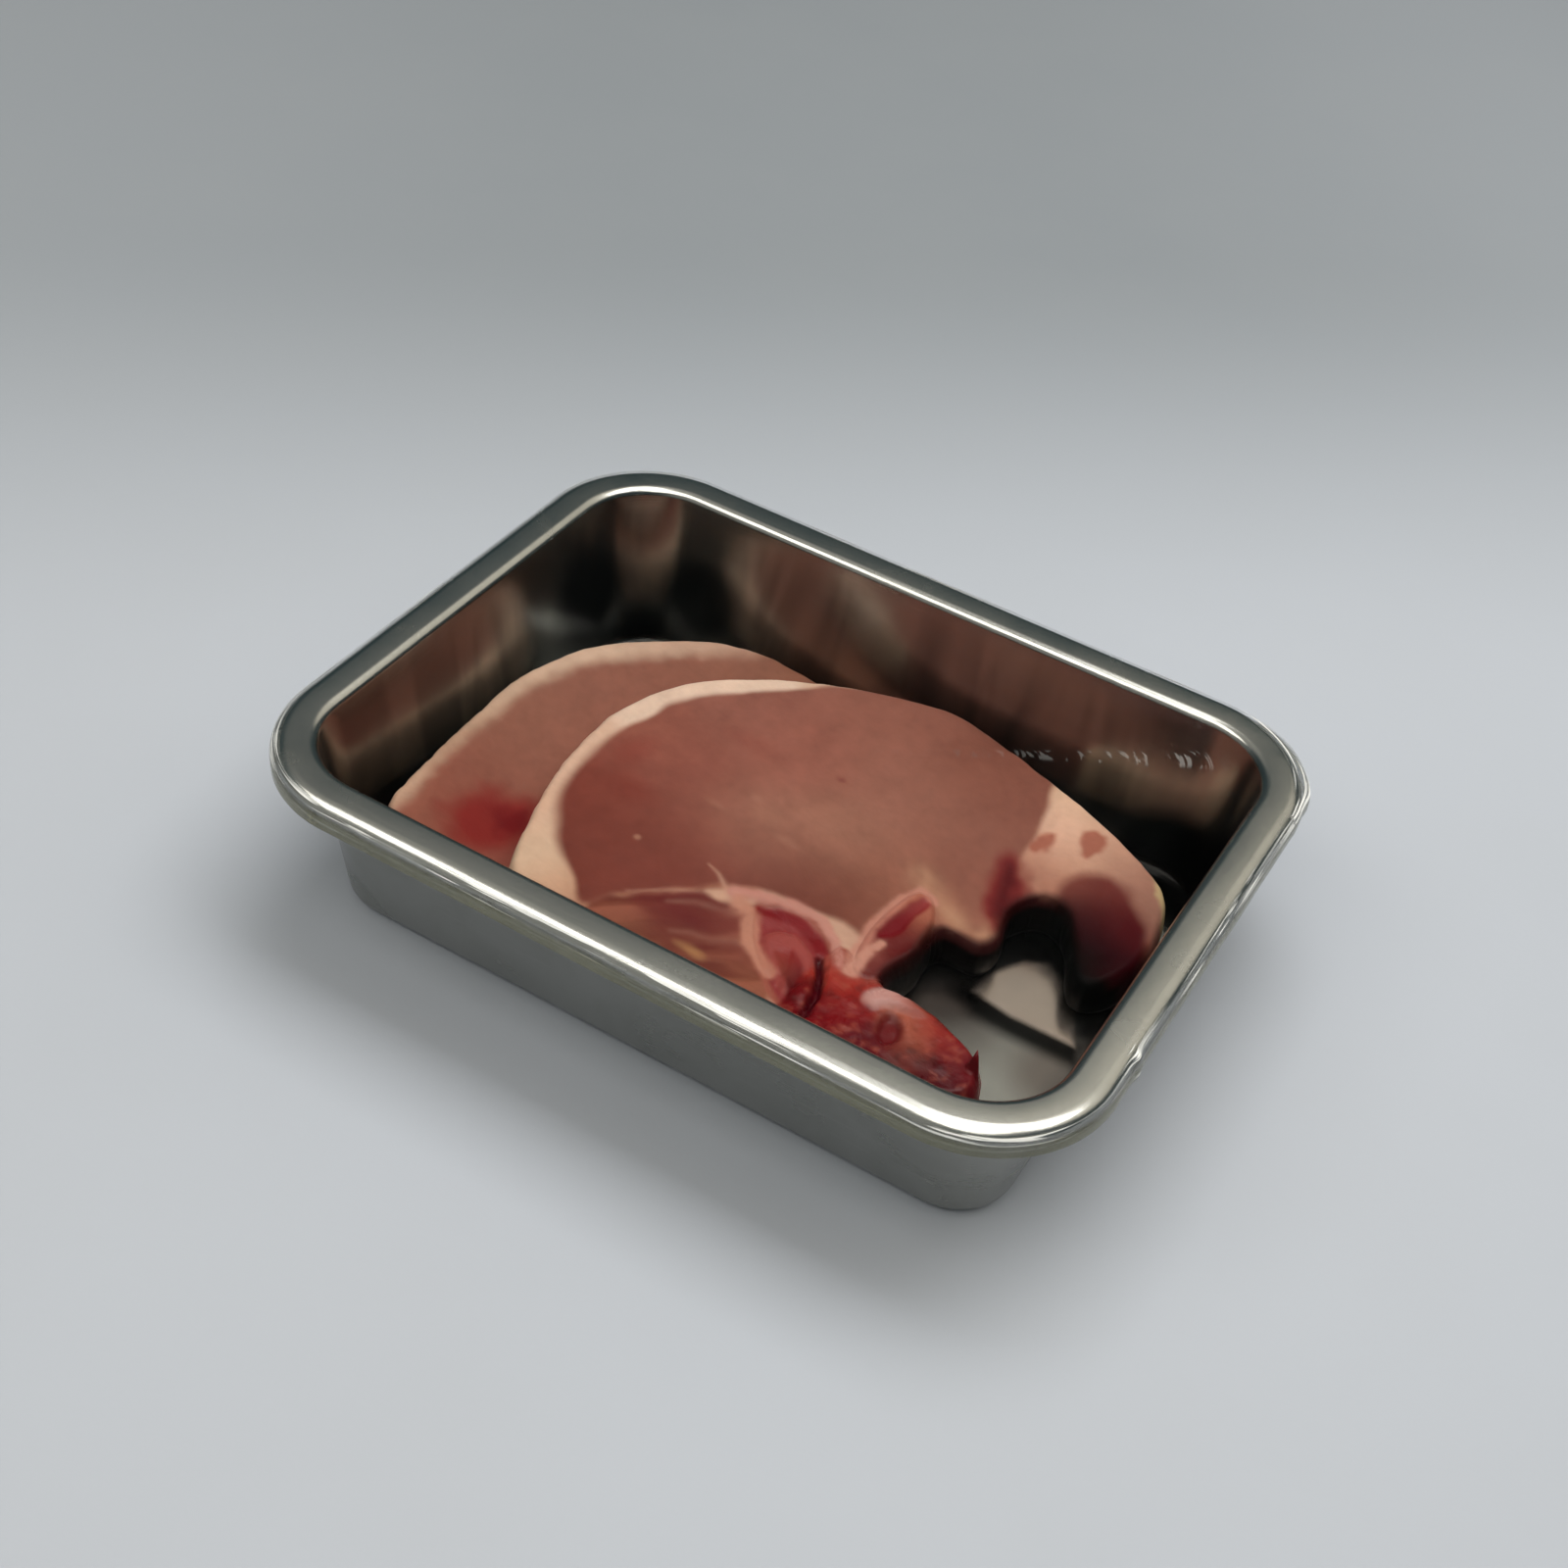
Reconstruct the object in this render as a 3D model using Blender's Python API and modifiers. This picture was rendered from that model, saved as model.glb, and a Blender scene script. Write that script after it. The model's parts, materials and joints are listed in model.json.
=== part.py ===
"""A meat tray pack: a small stainless steel tray with a wide rolled rim, two thin pork loin
chops lying in it one over the other, and a clear stretch film pulled over the rim.

Frame: +X along the tray's long side, +Y across it, +Z up. The origin is the centre of the
tray's flat underside. Lengths are in metres, and the meat's plan points in millimetres.
"""

import math

import bmesh
import bpy
import numpy as np
from mathutils.geometry import delaunay_2d_cdt

MM = 0.001

# ---- The tray: outer size over the rim, and how its one sheet of steel runs ----
LENGTH, WIDTH, HEIGHT = 0.180, 0.140, 0.040
SHEET = 0.0008
RIM_WIDTH = 0.0086
RIM_CORNER = 0.0264  # corner radius of the rim's outer edge; every other ring is parallel to it
RIM_SHOULDER = 0.0032  # how far in the film's shoulder starts to turn down over the rim
RIM_INNER_EDGE = 0.0020
RIM_DEPTH = 0.0045
RIM_CURL = 0.0014
RIM_CURL_RADIUS = 0.85 * RIM_CURL
RIM_SHOULDER_RADIUS = 0.95 * RIM_SHOULDER
DRAFT = 0.0063  # how far each wall leans in from the rim to the floor
FLOOR_FILLET = 0.0032

# ---- The film over the rim ----
GAP = 0.0003
FILM = 0.0003
SKIRT_CLEARANCE = 1.4 * (GAP + FILM)  # below the rim before the film tucks in under it
SKIRT = 0.0058  # how far the film hangs below the rim's top
SKIRT_TUCK = 0.0010
SKIRT_TUCK_RADIUS = 0.5 * SKIRT_TUCK

# ---- The meat: chops cut thin, with soft edges ----
CHOP_THICKNESS = 10.5 * MM
EDGE_ROUND = 1.8 * MM
EDGE_CLEAR = 1.8 * EDGE_ROUND  # nearest to the edge that a grid point may lie
RING_CLEAR = 0.8 * EDGE_ROUND  # and a point of the ring inside the edge
GRID = 8.0 * MM
SPREAD = 15.0 * MM  # reach of one height pin
MEAT_FLOOR = SHEET + GAP
CHOP_CLEARANCE = 0.7 * MM  # between the two chops, whose facets don't line up
COVER_EDGE = 14.0 * MM  # beyond one grid step from the front chop the back one regains its height
CUTTER_TOP = 0.060
CUTTER_OVERSIZE = 1.2  # of the cutter that leaves the back chop's own edge alone

# Outlines in plan, in millimetres, running either way round. Each is the set of points that a
# smooth closed curve runs through.
FRONT_CHOP = (
    (-36.5, -47), (-43, -30), (-46.5, -14), (-46.5, 5.5), (-40, 22), (-28.5, 34), (-14.5, 44),
    (8, 53.5), (24, 52), (40, 48), (53, 44), (64, 39), (71.5, 33.5), (74.5, 24), (73.5, 13), (69, 6),
    (64, 6), (60, 14), (55, 20), (49, 20), (46, 14), (47.5, 6), (45, 1), (37, 0), (37, -10),
    (35, -19), (36.5, -23), (44, -22), (53, -24), (61, -29), (62, -38), (54, -42), (40, -44),
    (8, -48), (-22, -51),
)
BACK_CHOP = (
    (-69.5, -43), (-71, -32), (-73, -12), (-74, 6), (-72, 16.5), (-67, 29), (-52.5, 44),
    (-37, 52), (-16, 53), (-2, 50), (10, 42), (19, 30), (22, 14), (17, -3), (6, -18), (-10, -32),
    (-28, -43), (-48, -49), (-62, -50),
)
# Regions of a chop. Where a region reaches past the chop's edge, the edge ends it.
FRONT_LOIN = (
    (-27, -42), (-35, -37), (-40, -27), (-42.8, -12), (-42.4, 4), (-36, 18), (-24, 32),
    (-8, 44.5), (10, 58), (36, 54), (41, 40), (41.5, 28), (48, 21), (50, 8), (48, -5),
    (36, -6), (31, -14), (21, -13.5), (13, -16.4), (5, -18.3), (-3.2, -22), (-11, -30),
    (-18, -37),
)
FRONT_FLANK = (
    (-28, -41.5), (-18, -36), (-11, -29), (-3, -21), (6, -17), (14, -24), (20, -40),
    (20, -58), (-22, -60), (-33, -48),
)
FRONT_CAP = (
    (-24, -44), (-33, -60), (-55, -40), (-56, 10), (-30, 50), (-6, 54), (-2, 44), (-30, -10),
)
FRONT_TAIL = ((36, 30), (44, 12), (58, -4), (90, -4), (90, 50), (60, 60), (36, 58))
RIB_BONE = (
    (6.3, -22), (13.5, -18), (21, -20.5), (26, -28), (27.6, -36), (25, -42), (18, -38), (9.6, -30),
)
ARCH_BONE = (
    (28, -22), (26, -10.5), (27.5, 3.5), (31.8, 5.4), (35.5, -1), (38, -11), (36, -20), (31.5, -25),
)
VERTEBRA = (
    (24, -20), (31, -23), (37, -20), (48, -20), (60, -24), (68, -36), (54, -50), (36, -52),
    (24, -50), (22, -38),
)
BACK_LOIN = (
    (-64, -60), (-66.5, -40), (-68, -28), (-69, -14), (-69.5, 0), (-68, 12), (-62.5, 24.5),
    (-50, 39), (-38, 49), (-24, 60), (10, 60), (34, 40), (34, 0), (0, -40), (-40, -64),
)

# How high the meat's top face lies, as pins (x, y, height) in millimetres: the front chop lies
# over the back one, leans up towards the far wall and sinks to the floor at its bones.
FRONT_PINS = (
    (-38, -40, 23), (-45, -10, 24), (-42, 15, 24), (-15, 42, 22.5), (7, 52, 20.5),
    (23, 50, 19), (39, 46, 18), (53, 42, 17.5), (68, 33, 17.5), (76, 24, 16), (51, 19, 9.5),
    (45, 4, 9.5), (66, 8, 5), (34, 2, 11.5), (0, 0, 21), (-20, 10, 23), (15, 20, 19),
    (-10, -47, 19), (14, -43, 16.5), (24, -24, 15), (42, -32, 13.5), (60, -32, 10),
)
BACK_PINS = (
    (-70, -42, 20), (-77, -22, 20.5), (-75, 0, 19), (-70, 20, 17.5), (-55, 41, 16),
    (-40, 51, 15.5), (-20, 53, 14), (-30, -20, 12), (-10, 10, 12), (-50, 0, 13.5),
)

COLLECTION, CUTTERS = "meat_tray_pack", "cutters"


def clear_scene():
    for item in list(bpy.data.objects):
        bpy.data.objects.remove(item, do_unlink=True)


def collection(name):
    made = bpy.data.collections.new(name)
    bpy.context.scene.collection.children.link(made)
    return made


def material(name, colour, roughness, metallic=0.0, alpha=1.0):
    made = bpy.data.materials.new(name)
    made.use_nodes = True
    shader = made.node_tree.nodes["Principled BSDF"]
    shader.inputs["Base Color"].default_value = (*colour, 1.0)
    shader.inputs["Roughness"].default_value = roughness
    shader.inputs["Metallic"].default_value = metallic
    shader.inputs["Alpha"].default_value = alpha
    return made


# ---- Rounded profiles and rings, for the tray and the film ----


def rounded_path(corners, radii, steps=4):
    """The open path through corners with each inner corner turned into an arc of its radius."""
    path = [np.array(corners[0])]
    for before, corner, after, radius in zip(corners, corners[1:], corners[2:], radii):
        here = np.array(corner)
        to_before = np.array(before) - here
        to_after = np.array(after) - here
        to_before /= np.linalg.norm(to_before)
        to_after /= np.linalg.norm(to_after)
        half = math.acos(float(np.clip(to_before @ to_after, -1, 1))) / 2
        bisector = (to_before + to_after) / np.linalg.norm(to_before + to_after)
        centre = here + bisector * radius / math.sin(half)
        start = here + to_before * radius / math.tan(half) - centre
        end = here + to_after * radius / math.tan(half) - centre
        turn = math.acos(float(np.clip(start @ end / radius**2, -1, 1)))
        for step in range(steps + 1):
            share = step / steps
            weight_start = math.sin((1 - share) * turn) / math.sin(turn)
            weight_end = math.sin(share * turn) / math.sin(turn)
            path.append(centre + weight_start * start + weight_end * end)
    path.append(np.array(corners[-1]))
    return path


def ring(inset, corner_steps=9):
    """The points of the rounded rectangle that lies this far inside the rim's outer edge."""
    radius = RIM_CORNER - inset
    reach_x, reach_y = LENGTH / 2 - RIM_CORNER, WIDTH / 2 - RIM_CORNER
    points = []
    for quarter, (side_x, side_y) in enumerate(((1, 1), (-1, 1), (-1, -1), (1, -1))):
        for step in range(corner_steps + 1):
            angle = math.pi / 2 * (quarter + step / corner_steps)
            points.append(
                (
                    side_x * reach_x + radius * math.cos(angle),
                    side_y * reach_y + radius * math.sin(angle),
                )
            )
    return points


def swept_skin(name, profile):
    """The open skin whose section is profile, a list of (inset, height) from the outer edge to
    the middle, where a flat face closes it. Its faces look up and out."""
    mesh = bpy.data.meshes.new(name)
    bm = bmesh.new()
    rings = [[bm.verts.new((x, y, z)) for x, y in ring(inset)] for inset, z in profile]
    for outer, inner in zip(rings, rings[1:]):
        for i in range(len(outer)):
            j = (i + 1) % len(outer)
            bm.faces.new((outer[i], outer[j], inner[j], inner[i]))
    bm.faces.new(rings[-1])
    bm.to_mesh(mesh)
    bm.free()
    return mesh


def shell(name, profile, thickness, where, finish):
    """A shell of this thickness under the skin."""
    made = bpy.data.objects.new(name, swept_skin(name, profile))
    where.objects.link(made)
    made.data.materials.append(finish)
    solidify = made.modifiers.new("thickness", "SOLIDIFY")
    solidify.thickness = thickness
    solidify.offset = -1.0
    solidify.use_even_offset = True
    made.data.shade_smooth()
    return made


def tray(where):
    lip = HEIGHT - RIM_DEPTH
    corners = (
        (RIM_CURL, lip),
        (0.0, lip),
        (0.0, HEIGHT),
        (RIM_WIDTH, HEIGHT),
        (RIM_WIDTH + DRAFT, SHEET),
        (RIM_WIDTH + DRAFT + 2 * FLOOR_FILLET, SHEET),
    )
    radii = (RIM_CURL_RADIUS, RIM_SHOULDER_RADIUS, RIM_INNER_EDGE, FLOOR_FILLET)
    steel = material("steel", (0.50, 0.50, 0.48), 0.22, metallic=1.0)
    return shell("tray", rounded_path(corners, radii), SHEET, where, steel)


def film(where):
    out = GAP + FILM
    corners = (
        (SKIRT_TUCK, HEIGHT - SKIRT),
        (-out, HEIGHT - RIM_DEPTH - SKIRT_CLEARANCE),
        (-out, HEIGHT + out),
        (RIM_WIDTH, HEIGHT + out),
    )
    radii = (SKIRT_TUCK_RADIUS, RIM_SHOULDER + out)
    clear = material("film", (0.93, 0.94, 0.93), 0.08, alpha=0.25)
    return shell("film", rounded_path(corners, radii), FILM, where, clear)


# ---- Outlines and height fields, for the meat ----


def closed_curve(points_mm, steps=3):
    """Points along the smooth closed curve through the given ones, in metres."""
    fixed = np.array(points_mm, float) * MM
    before, after, beyond = (np.roll(fixed, shift, axis=0) for shift in (1, -1, -2))
    runs = []
    for t in np.arange(steps) / steps:
        runs.append(
            0.5
            * (
                2 * fixed
                + (after - before) * t
                + (2 * before - 5 * fixed + 4 * after - beyond) * t**2
                + (3 * fixed - before - 3 * after + beyond) * t**3
            )
        )
    return np.stack(runs, axis=1).reshape(-1, 2)


def is_anticlockwise(outline):
    following = np.roll(outline, -1, axis=0)
    return (outline[:, 0] * following[:, 1] - outline[:, 1] * following[:, 0]).sum() > 0


def grown(outline, distance):
    """The outline moved out by distance, or in where it is negative."""
    along = np.roll(outline, -1, axis=0) - np.roll(outline, 1, axis=0)
    along /= np.linalg.norm(along, axis=1)[:, None]
    outward = np.stack([along[:, 1], -along[:, 0]], axis=1)
    if not is_anticlockwise(outline):
        outward = -outward
    return outline + distance * outward


def is_inside(points, outline):
    """Whether each point lies inside the outline, by counting the edges to its right."""
    x, y = points[:, :1], points[:, 1:]
    ax, ay = outline.T
    bx, by = np.roll(outline, -1, axis=0).T
    crosses = (ay > y) != (by > y)
    safe_rise = np.where(by == ay, 1.0, by - ay)
    return (crosses & (x < ax + (y - ay) * (bx - ax) / safe_rise)).sum(axis=1) % 2 == 1


def edge_distance(points, outline):
    """How far each point is from the outline."""
    run = np.roll(outline, -1, axis=0) - outline
    offset = points[:, None] - outline[None]
    share = np.clip((offset * run).sum(axis=2) / (run**2).sum(axis=1), 0, 1)
    return np.linalg.norm(offset - share[..., None] * run, axis=2).min(axis=1)


def pinned_height(points, pins_mm):
    """The smooth height field that passes near the pins, in metres."""
    pins = np.array(pins_mm, float) * MM
    squares = ((points[:, None] - pins[None, :, :2]) ** 2).sum(axis=2)
    weights = np.exp(-squares / (2 * SPREAD**2)) + 1e-12
    return (weights * pins[:, 2]).sum(axis=1) / weights.sum(axis=1)


def front_top(points):
    return pinned_height(points, FRONT_PINS)


def front_bottom(points):
    return np.maximum(front_top(points) - CHOP_THICKNESS, MEAT_FLOOR)


def back_top(points):
    """The back chop's own height, pressed down wherever the front chop lies on it."""
    own = pinned_height(points, BACK_PINS)
    front = closed_curve(FRONT_CHOP)
    outside = np.where(is_inside(points, front), 0.0, edge_distance(points, front))
    cover = np.clip(1 - (outside - GRID) / COVER_EDGE, 0, 1)
    pressed = np.minimum(own, front_bottom(points) - CHOP_CLEARANCE)
    return own + (pressed - own) * cover


def back_bottom(points):
    return np.maximum(back_top(points) - CHOP_THICKNESS, MEAT_FLOOR)


def sheet_points(outline):
    """The outline, a ring just inside it where the edge stops curving, and a grid of points."""
    low, high = outline.min(axis=0), outline.max(axis=0)
    rows = np.arange(low[1], high[1], GRID * math.sqrt(3) / 2)
    grid = []
    for index, y in enumerate(rows):
        grid += [(x, y) for x in np.arange(low[0] + index % 2 * GRID / 2, high[0], GRID)]
    grid = np.array(grid)
    kept = is_inside(grid, outline) & (edge_distance(grid, outline) > EDGE_CLEAR)
    inner = grown(outline, -EDGE_ROUND)
    inner = inner[is_inside(inner, outline) & (edge_distance(inner, outline) > RING_CLEAR)]
    return np.concatenate([outline, inner, grid[kept]])


def slab_mesh(name, outline, top, bottom):
    """A closed slab between two height fields, its upper edge rounded off."""
    count = len(outline)
    edges = [(i, (i + 1) % count) for i in range(count)]
    flat, _, faces, *_ = delaunay_2d_cdt(
        [tuple(p) for p in sheet_points(outline)], edges, [], 1, 1e-7
    )
    places = np.array([(p[0], p[1]) for p in flat])
    near = np.clip(edge_distance(places, outline) / EDGE_ROUND, 0, 1)
    drop = EDGE_ROUND * (1 - np.sqrt(1 - (1 - near) ** 2))
    low = bottom(places)
    high = np.maximum(top(places) - drop, low + EDGE_ROUND / 2)
    mesh = bpy.data.meshes.new(name)
    bm = bmesh.new()
    layer = bm.verts.layers.float.new("low")
    verts = [bm.verts.new((x, y, z)) for (x, y), z in zip(places, high)]
    for vert, z in zip(verts, low):
        vert[layer] = z
    for face in faces:
        bm.faces.new([verts[i] for i in face])
    extruded = bmesh.ops.extrude_face_region(bm, geom=list(bm.faces), use_keep_orig=True)
    for item in extruded["geom"]:
        if isinstance(item, bmesh.types.BMVert):
            item.co.z = item[layer]
    bmesh.ops.recalc_face_normals(bm, faces=list(bm.faces))
    bm.to_mesh(mesh)
    bm.free()
    return mesh


def prism(name, outline, where):
    """A cutter: the outline as an upright prism through the whole height of the meat."""
    mesh = bpy.data.meshes.new(name)
    bm = bmesh.new()
    verts = [bm.verts.new((x, y, -CUTTER_TOP / 2)) for x, y in outline]
    base = bm.faces.new(verts)
    extruded = bmesh.ops.extrude_face_region(bm, geom=[base], use_keep_orig=True)
    for item in extruded["geom"]:
        if isinstance(item, bmesh.types.BMVert):
            item.co.z = CUTTER_TOP
    bmesh.ops.recalc_face_normals(bm, faces=list(bm.faces))
    bm.to_mesh(mesh)
    bm.free()
    made = bpy.data.objects.new(name, mesh)
    where.objects.link(made)
    made.hide_render = True
    made.display_type = "WIRE"
    return made


def cut_piece(name, slab, finish, where, region, holes):
    """The part of the slab that lies in region and outside every hole."""
    made = bpy.data.objects.new(name, slab.copy())
    where.objects.link(made)
    made.data.materials.append(finish)
    for operation, cutters in (("INTERSECT", [region]), ("DIFFERENCE", holes)):
        for cutter in cutters:
            boolean = made.modifiers.new(operation.lower(), "BOOLEAN")
            boolean.operation = operation
            boolean.object = cutter
    return made


def meat_materials():
    return {
        "lean": material("lean", (0.42, 0.17, 0.14), 0.35),
        "flank": material("flank", (0.33, 0.09, 0.07), 0.35),
        "fat": material("fat", (0.76, 0.56, 0.45), 0.40),
        "bone": material("bone", (0.42, 0.05, 0.04), 0.30),
    }


def front_chop(where, cutters, finish):
    """The front chop: its eye of loin, the flank below it, a cap and a tail of fat, and the
    three cut faces of its vertebra, all running through the slice."""
    slab = slab_mesh("front_slab", closed_curve(FRONT_CHOP), front_top, front_bottom)
    regions = (
        ("front_rib_bone", RIB_BONE, "bone"),
        ("front_arch_bone", ARCH_BONE, "bone"),
        ("front_vertebra", VERTEBRA, "bone"),
        ("front_loin", FRONT_LOIN, "lean"),
        ("front_flank", FRONT_FLANK, "flank"),
        ("front_fat_cap", FRONT_CAP, "fat"),
        ("front_tail", FRONT_TAIL, "fat"),
    )
    holes = []
    for name, points, kind in regions:
        outline = closed_curve(points)
        region = prism("cut_" + name, outline, cutters)
        cut_piece(name, slab, finish[kind], where, region, list(holes))
        holes.append(prism("clear_" + name, grown(outline, GAP), cutters))


def back_chop(where, cutters, finish):
    """The back chop: its eye of loin and the cap of fat along its outer edge."""
    slab = slab_mesh("back_slab", closed_curve(BACK_CHOP), back_top, back_bottom)
    outline = closed_curve(BACK_LOIN)
    region = prism("cut_back_loin", outline, cutters)
    cut_piece("back_loin", slab, finish["lean"], where, region, [])
    around = prism("cut_back_fat", closed_curve(BACK_CHOP, 1) * CUTTER_OVERSIZE, cutters)
    hole = prism("clear_back_loin", grown(outline, GAP), cutters)
    cut_piece("back_fat_cap", slab, finish["fat"], where, around, [hole])


def main():
    clear_scene()
    parts, cutters = collection(COLLECTION), collection(CUTTERS)
    tray(parts)
    film(parts)
    finish = meat_materials()
    front_chop(parts, cutters, finish)
    back_chop(parts, cutters, finish)


main()
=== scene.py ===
"""Looks of the meat tray pack: polished steel tray, two pork loin chops, stretch film.

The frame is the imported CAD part: +X along the tray, +Z up, metres. The meat is worked out in
millimetres of plan and height, and scaled at the end.
"""

import json
import math

import bpy
import numpy as np
from mathutils import Matrix, Vector
from mathutils.geometry import delaunay_2d_cdt

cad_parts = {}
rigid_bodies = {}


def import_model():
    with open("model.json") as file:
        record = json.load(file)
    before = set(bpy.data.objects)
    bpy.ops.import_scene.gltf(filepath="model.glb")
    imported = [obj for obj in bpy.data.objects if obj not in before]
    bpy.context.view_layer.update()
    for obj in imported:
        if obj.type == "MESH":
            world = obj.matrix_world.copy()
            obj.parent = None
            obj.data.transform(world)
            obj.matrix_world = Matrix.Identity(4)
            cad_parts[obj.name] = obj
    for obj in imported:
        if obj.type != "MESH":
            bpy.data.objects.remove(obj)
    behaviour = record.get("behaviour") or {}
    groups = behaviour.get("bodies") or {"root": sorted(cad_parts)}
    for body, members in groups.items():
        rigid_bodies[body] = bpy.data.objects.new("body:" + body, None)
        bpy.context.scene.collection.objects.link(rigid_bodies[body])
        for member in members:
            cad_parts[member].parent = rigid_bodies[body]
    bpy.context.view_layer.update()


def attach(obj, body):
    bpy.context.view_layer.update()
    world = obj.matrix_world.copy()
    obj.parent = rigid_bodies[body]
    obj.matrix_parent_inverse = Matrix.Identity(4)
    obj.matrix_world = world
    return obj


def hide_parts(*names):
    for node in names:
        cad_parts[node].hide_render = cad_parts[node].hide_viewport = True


MM = 0.001

# ---- The CAD part's own sizes, repeated so that the finished skins follow it ----
LENGTH, WIDTH, HEIGHT = 0.180, 0.140, 0.040
SHEET = 0.0008
RIM_WIDTH = 0.0086
RIM_CORNER = 0.0264
RIM_SHOULDER = 0.0032
RIM_INNER_EDGE = 0.0020
RIM_DEPTH = 0.0045
RIM_CURL = 0.0014
DRAFT = 0.0063
FLOOR_FILLET = 0.0032
FILM_OUT = 0.0006
FILM_BODY = 0.00012
SKIRT = 0.0058
SKIRT_TUCK = 0.0010

CHOP_THICKNESS = 10.5
EDGE_ROUND = 1.8
SPREAD = 15.0
MEAT_FLOOR = 1.1
CHOP_CLEARANCE = 0.7
COVER_START, COVER_EDGE = 8.0, 14.0
WALL_ROWS = (0.14, 0.36, 0.62, 0.86)
WALL_BULGE = (0.28, 0.42, 0.36, -0.1)
ON_EDGE = 0.02  # a point this near the outline lies on it

TRAY_STEP, FILM_STEP = 0.004, 0.0012
PINCH, PINCH_REACH = (0.0895, -0.0345), 0.0016  # the film's pinch at the near right corner
SEAM_X, SEAM_Y = -0.066, -0.06  # a fold in the skirt, in front of this y

LATTICE, LATTICE_SHIFT = 97, 31.7  # the noise's grid, and where plan points fall on it
CHUNK = 8000  # points measured at a time
TINY = 1e-12

FRONT_CHOP = (
    (-36.5, -47), (-43, -30), (-46.5, -14), (-46.5, 5.5), (-40, 22), (-28.5, 34), (-14.5, 44),
    (8, 53.5), (24, 52), (40, 48), (53, 44), (64, 39), (71.5, 33.5), (74.5, 24), (73.5, 13),
    (69, 6), (64, 6), (60, 14), (55, 20), (49, 20), (46, 14), (47.5, 6), (45, 1), (37, 0),
    (37, -10), (35, -19), (36.5, -23), (44, -22), (53, -24), (61, -29), (62, -38), (54, -42),
    (40, -44), (8, -48), (-22, -51),
)
BACK_CHOP = (
    (-69.5, -43), (-71, -32), (-73, -12), (-74, 6), (-72, 16.5), (-67, 29), (-52.5, 44),
    (-37, 52), (-16, 53), (-2, 50), (10, 42), (19, 30), (22, 14), (17, -3), (6, -18), (-10, -32),
    (-28, -43), (-48, -49), (-62, -50),
)
FRONT_LOIN = (
    (-27, -42), (-35, -37), (-40, -27), (-42.8, -12), (-42.4, 4), (-36, 18), (-24, 32),
    (-8, 44.5), (10, 58), (36, 54), (41, 40), (41.5, 28), (48, 21), (50, 8), (48, -5),
    (36, -6), (31, -14), (21, -13.5), (13, -16.4), (5, -18.3), (-3.2, -22), (-11, -30),
    (-18, -37),
)
FRONT_FLANK = (
    (-28, -41.5), (-18, -36), (-11, -29), (-3, -21), (6, -17), (14, -24), (20, -40),
    (20, -58), (-22, -60), (-33, -48),
)
FRONT_CAP = (
    (-24, -44), (-33, -60), (-55, -40), (-56, 10), (-30, 50), (-6, 54), (-2, 44), (-30, -10),
)
RIB_BONE = (
    (6.3, -22), (13.5, -18), (21, -20.5), (26, -28), (27.6, -36), (25, -42), (18, -38), (9.6, -30),
)
ARCH_BONE = (
    (28, -22), (26, -10.5), (27.5, 3.5), (31.8, 5.4), (35.5, -1), (38, -11), (36, -20), (31.5, -25),
)
VERTEBRA = (
    (24, -20), (31, -23), (37, -20), (48, -20), (60, -24), (68, -36), (54, -50), (36, -52),
    (24, -50), (22, -38),
)
BACK_LOIN = (
    (-64, -60), (-66.5, -40), (-68, -28), (-69, -14), (-69.5, 0), (-68, 12), (-62.5, 24.5),
    (-50, 39), (-38, 49), (-24, 60), (10, 60), (34, 40), (34, 0), (0, -40), (-40, -64),
)
FRONT_PINS = (
    (-38, -40, 23), (-45, -10, 24), (-42, 15, 24), (-15, 42, 22.5), (7, 52, 20.5),
    (23, 50, 19), (39, 46, 18), (53, 42, 17.5), (68, 33, 17.5), (76, 24, 16), (51, 19, 9.5),
    (45, 4, 9.5), (66, 8, 5), (34, 2, 11.5), (0, 0, 21), (-20, 10, 23), (15, 20, 19),
    (-10, -47, 19), (14, -43, 16.5), (24, -24, 15), (42, -32, 13.5), (60, -32, 10),
)
BACK_PINS = (
    (-70, -42, 20), (-77, -22, 20.5), (-75, 0, 19), (-70, 20, 17.5), (-55, 41, 16),
    (-40, 51, 15.5), (-20, 53, 14), (-30, -20, 12), (-10, 10, 12), (-50, 0, 13.5),
)

# ---- Features of the cut faces, drawn in plan ----
EYE_EDGE = (
    (-21, -44.5), (-25.8, -41), (-32.2, -36.4), (-38.4, -28.8), (-41.2, -22), (-42.6, -12),
    (-42.4, -1), (-40.4, 6.5), (-37.4, 15.5), (-31.8, 23.4), (-23.8, 33), (-13.2, 43.4), (8, 57),
    (33, 53), (39.6, 43.5), (41.4, 34), (40.8, 26), (43, 22), (48, 21), (50, 8), (48, -5),
    (36, -6), (31, -14), (21, -13.5), (12, -16.6), (5, -18.6), (-2.2, -22.6), (-7.9, -28.7),
    (-13, -33.2), (-17, -38),
)
FLANK_EDGE = (
    (-20, -43), (-16, -37.5), (-12, -32.6), (-7.6, -28.2), (-3, -24), (3, -20.6), (8, -20),
    (16, -26), (20, -40), (20, -58), (-12, -62), (-18, -50),
)
TAIL_MUSCLE = (
    (52, 21), (51.8, 26), (55.3, 30.8), (59.5, 31.8), (63.8, 30.2), (68, 27.2), (71.6, 23.9),
    (74, 19.7), (75.4, 15), (76, 8), (77, 2), (66, 0), (58, 10), (54, 17),
)
TAIL_ISLANDS = (
    ((41.4, 30.2), (42, 33.3), (44.7, 35.4), (45.6, 31.9), (43.4, 29.2)),
    ((50.6, 35.6), (49.8, 39.2), (52.6, 41.2), (55.4, 38.9), (54.3, 35.2), (53, 33)),
)
NOTCH_RED = ((40.2, 15.8), (39.6, 20.2), (39.8, 25), (43.6, 22), (45.6, 16), (45, 9), (43, 10.5))
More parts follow.
